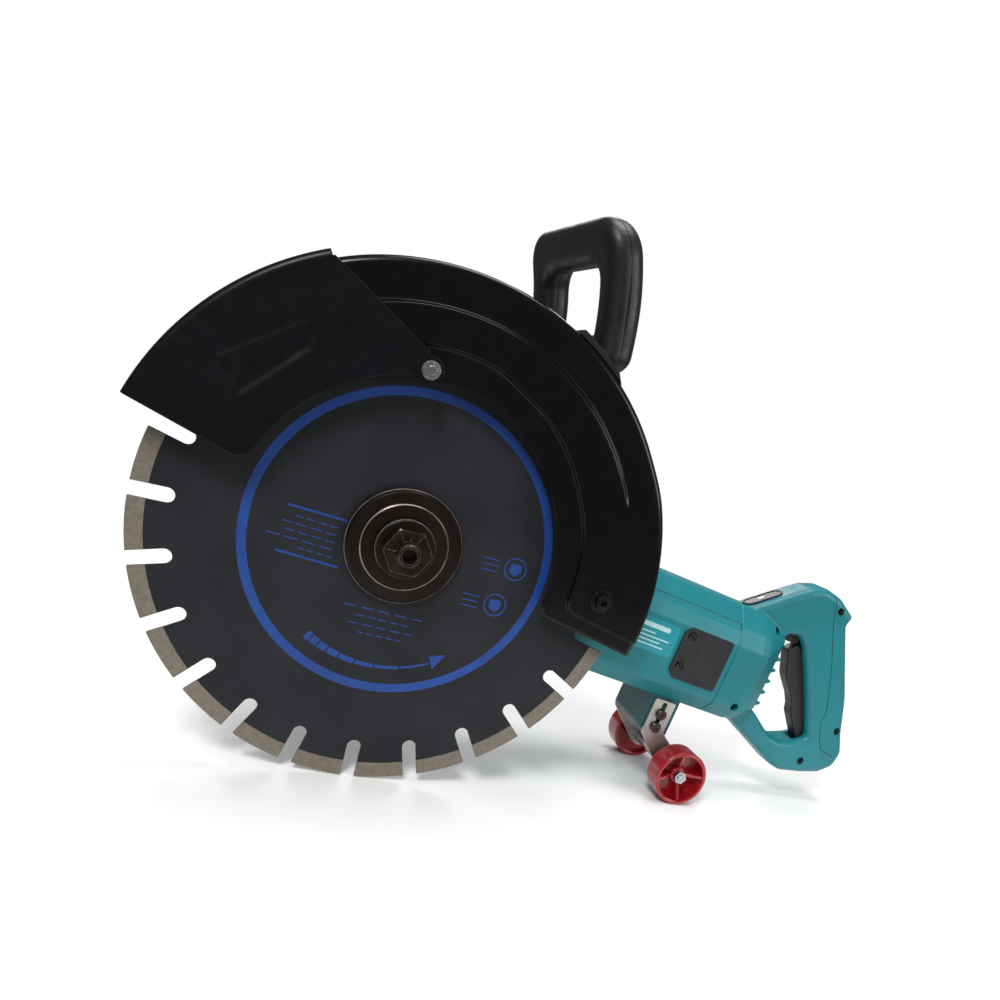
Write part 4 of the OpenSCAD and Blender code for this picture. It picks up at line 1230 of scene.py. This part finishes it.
bracketPair = repeated(bracketHead, straightRow, finishes["black"], {"Count": 2, "Step": (0, 12, 0)})
addPiece("bracket_screw_heads", shaped(bothSides(bracketPair)), sidePlace, "machine", finishes["nut"],
         ("bracket_screws",))

# Wheels
wheelSize = {"spokes": 4, "spokeTurn": 17, "spokeHalf": 1.4}
wheelPlace = sidePlace @ Matrix.Translation((300.4, -105.5, 0))
wheelProfile = [(3.04, 38), (7.0, 38), (7.5, 38.5), (7.5, 43), (20.4, 43), (20.4, 38.9), (21.0, 38), (22.4, 38),
                (23.3, 38.5), (23.8, 39.6), (23.8, 57.4), (23.3, 58.5), (22.4, 59), (21.3, 59), (20.6, 58.4),
                (20.4, 46), (8.2, 46), (7.4, 46.8), (7.0, 51.2), (6.4, 51.7), (3.04, 51.7)]
spokeLoop = [(6.2, 44), (20.9, 44), (20.9, 57.2), (19.6, 57.6), (12, 54.6), (6.2, 51.4)]
for sideName, turnOver in (("near", Matrix.Identity(4)), ("far", farSide)):
    body = sideName + "_wheel"
    addPiece(sideName + "_wheel_rim", shaped(lathe(wheelProfile, 96)), wheelPlace @ turnOver, body,
             finishes["wheel"], ("wheel_" + sideName,))
    spoke = slab(spokeLoop, -wheelSize["spokeHalf"], wheelSize["spokeHalf"])
    bmesh.ops.rotate(spoke, verts=spoke.verts[:], matrix=Matrix.Rotation(math.pi / 2, 3, "X"))
    spokes = repeated(shaped(spoke, bevel=0.5), roundRing, finishes["wheel"],
                      {"Count": wheelSize["spokes"], "Start Angle": math.radians(wheelSize["spokeTurn"])})
    addPiece(sideName + "_wheel_spokes", spokes, wheelPlace @ turnOver, body, finishes["wheel"])
print("wheels made")

# Drawn pieces that only have their edges rounded: node, finish, slot, width and steps of the rounding
roundedNodes = (
    ("inner_flange", "flange", "flange_steel", 0.4, 2),
    ("spindle", "nut", "bright_steel", 0.3, 2),
    ("guard_back", "guard", "guard_black", 0.5, 2),
    ("guard_mount_screws", "bright", "bright_steel", 0.25, 2),
    ("front_guard_bolts", "bright", "bright_steel", 0.3, 2),
    ("front_guard_nuts", "bright", "bright_steel", 0.35, 2),
    ("gear_housing", "cast", "cast_grey", 1.6, 3),
    ("bearing_cover", "cast", "cast_grey", 0.8, 2),
    ("bearing_cover_screws", "bright", "bright_steel", 0.3, 2),
    ("housing_bolts", "bright", "bright_steel", 0.3, 2),
    ("trigger_pin", "bright", "bright_steel", 0.3, 2),
    ("cord_inlet", "rubber", "rubber_black", 0.5, 2),
    ("handle_bracket", "guard", "guard_black", 0.6, 2),
    ("handle_bolts", "bright", "bright_steel", 0.4, 2),
    ("wheel_axle", "bright", "bright_steel", 0.4, 2),
    ("wheel_sleeves", "bright", "bright_steel", 0.3, 2),
    ("axle_nuts", "bright", "bright_steel", 0.4, 2),
)
for name, label, slot, width, steps in roundedNodes:
    softened(name, finishes[label], width, steps)

# Inner parts that keep their drawn shape
innerFinishes = {
    "gear": ("bevel_gear", "pinion", "rotor_shaft"),
    "bright": ("spindle_bearings", "rotor_bearings", "bearing_plate"),
    "lamination": ("stator_core", "armature_core"),
    "copper": ("field_coils", "armature_windings", "commutator"),
    "fan": ("fan",),
    "black": ("fan_baffle", "trigger_switch"),
    "brass": ("brush_holders",),
    "carbon": ("carbon_brushes",),
    "board": ("speed_module",),
}
for label, names in innerFinishes.items():
    for name in names:
        node = frame["nodes"][name]
        node.data.materials.clear()
        node.data.materials.append(finishes[label])
        for face in node.data.polygons:
            face.material_index = 0

# Floor, light and camera
floorFade = (0.42, 0.8)  # metres from the middle where the floor starts and ends its fade
floorMesh = bmesh.new()
bmesh.ops.create_grid(floorMesh, x_segments=1, y_segments=1, size=12)
floorHolder = toHolder("studio_floor", floorMesh)
floorFinish, floorTree, floorSurface, floorWhere = newFinish("studio_floor_pale", Roughness=0.75)
floorTint = mixColours(floorTree, noiseAt(floorTree, floorWhere, 900), rgb("#f1f1f0"), rgb("#f6f6f5"))
floorTree.links.new(floorTint, floorSurface.inputs["Base Color"])
fromMiddle = addNode(floorTree, "ShaderNodeVectorMath", {0: floorWhere}, operation="LENGTH")
fade = addNode(floorTree, "ShaderNodeMapRange", {"Value": fromMiddle.outputs["Value"], "From Min": floorFade[0],
                                                 "From Max": floorFade[1], "To Min": 1, "To Max": 0})
floorTree.links.new(fade.outputs[0], floorSurface.inputs["Alpha"])
floorHolder.data.materials.append(floorFinish)
floorHolder.location.z = -0.0005

world = bpy.data.worlds.new("studio_world")
world.use_nodes = True
worldTree = world.node_tree
sky = worldTree.nodes["Background"]
sky.inputs[0].default_value = rgb("#ffffff")
rays = addNode(worldTree, "ShaderNodeLightPath")
brightness = addNode(worldTree, "ShaderNodeMapRange", {"Value": rays.outputs["Is Camera Ray"], "To Min": 0.17,
                                                       "To Max": 1.0})
worldTree.links.new(brightness.outputs[0], sky.inputs[1])
bpy.context.scene.world = world


def softLight(name, place, target, size, power):
    data = bpy.data.lights.new(name, "AREA")
    data.shape, data.size, data.energy = "DISK", size, power
    light = bpy.data.objects.new(name, data)
    light.location = place
    light.rotation_mode = "QUATERNION"
    light.rotation_quaternion = (Vector(target) - Vector(place)).to_track_quat("-Z", "Y")
    bpy.context.scene.collection.objects.link(light)


lookAt = (0, 0, 0.2)
# name, place in metres, diameter in metres, power in watts
for name, place, size, power in (("key_light", (-1.0, -1.5, 1.9), 0.8, 42),
                                 ("fill_light", (1.7, -1.4, 0.9), 1.0, 16),
                                 ("top_light", (0.2, 0.1, 2.4), 1.4, 34),
                                 ("back_light", (0.3, 1.9, 1.4), 1.2, 20)):
    softLight(name, place, lookAt, size, power)
bpy.context.scene.view_settings.view_transform = "Standard"

cameraData = bpy.data.cameras.new("studio_camera")
cameraData.sensor_width, cameraData.lens = 36, 30.6
cameraData.shift_x, cameraData.shift_y = -0.06718, 0.07397
cameraData.clip_start, cameraData.clip_end = 0.01, 50
camera = bpy.data.objects.new("studio_camera", cameraData)
bpy.context.scene.collection.objects.link(camera)
cameraRight = Vector((0.91599363, -0.30128935, 0.26491584))
cameraUp = Vector((-0.19715029, 0.2370523, 0.95128228))
cameraBack = Vector((-0.34941013, -0.92359674, 0.15773911))
facing = Matrix((cameraRight, cameraUp, cameraBack)).transposed().to_4x4()
camera.matrix_world = Matrix.Translation((-0.23828, -0.63405, 0.27975)) @ facing
bpy.context.scene.camera = camera
print("studio made")

bpy.context.view_layer.update()
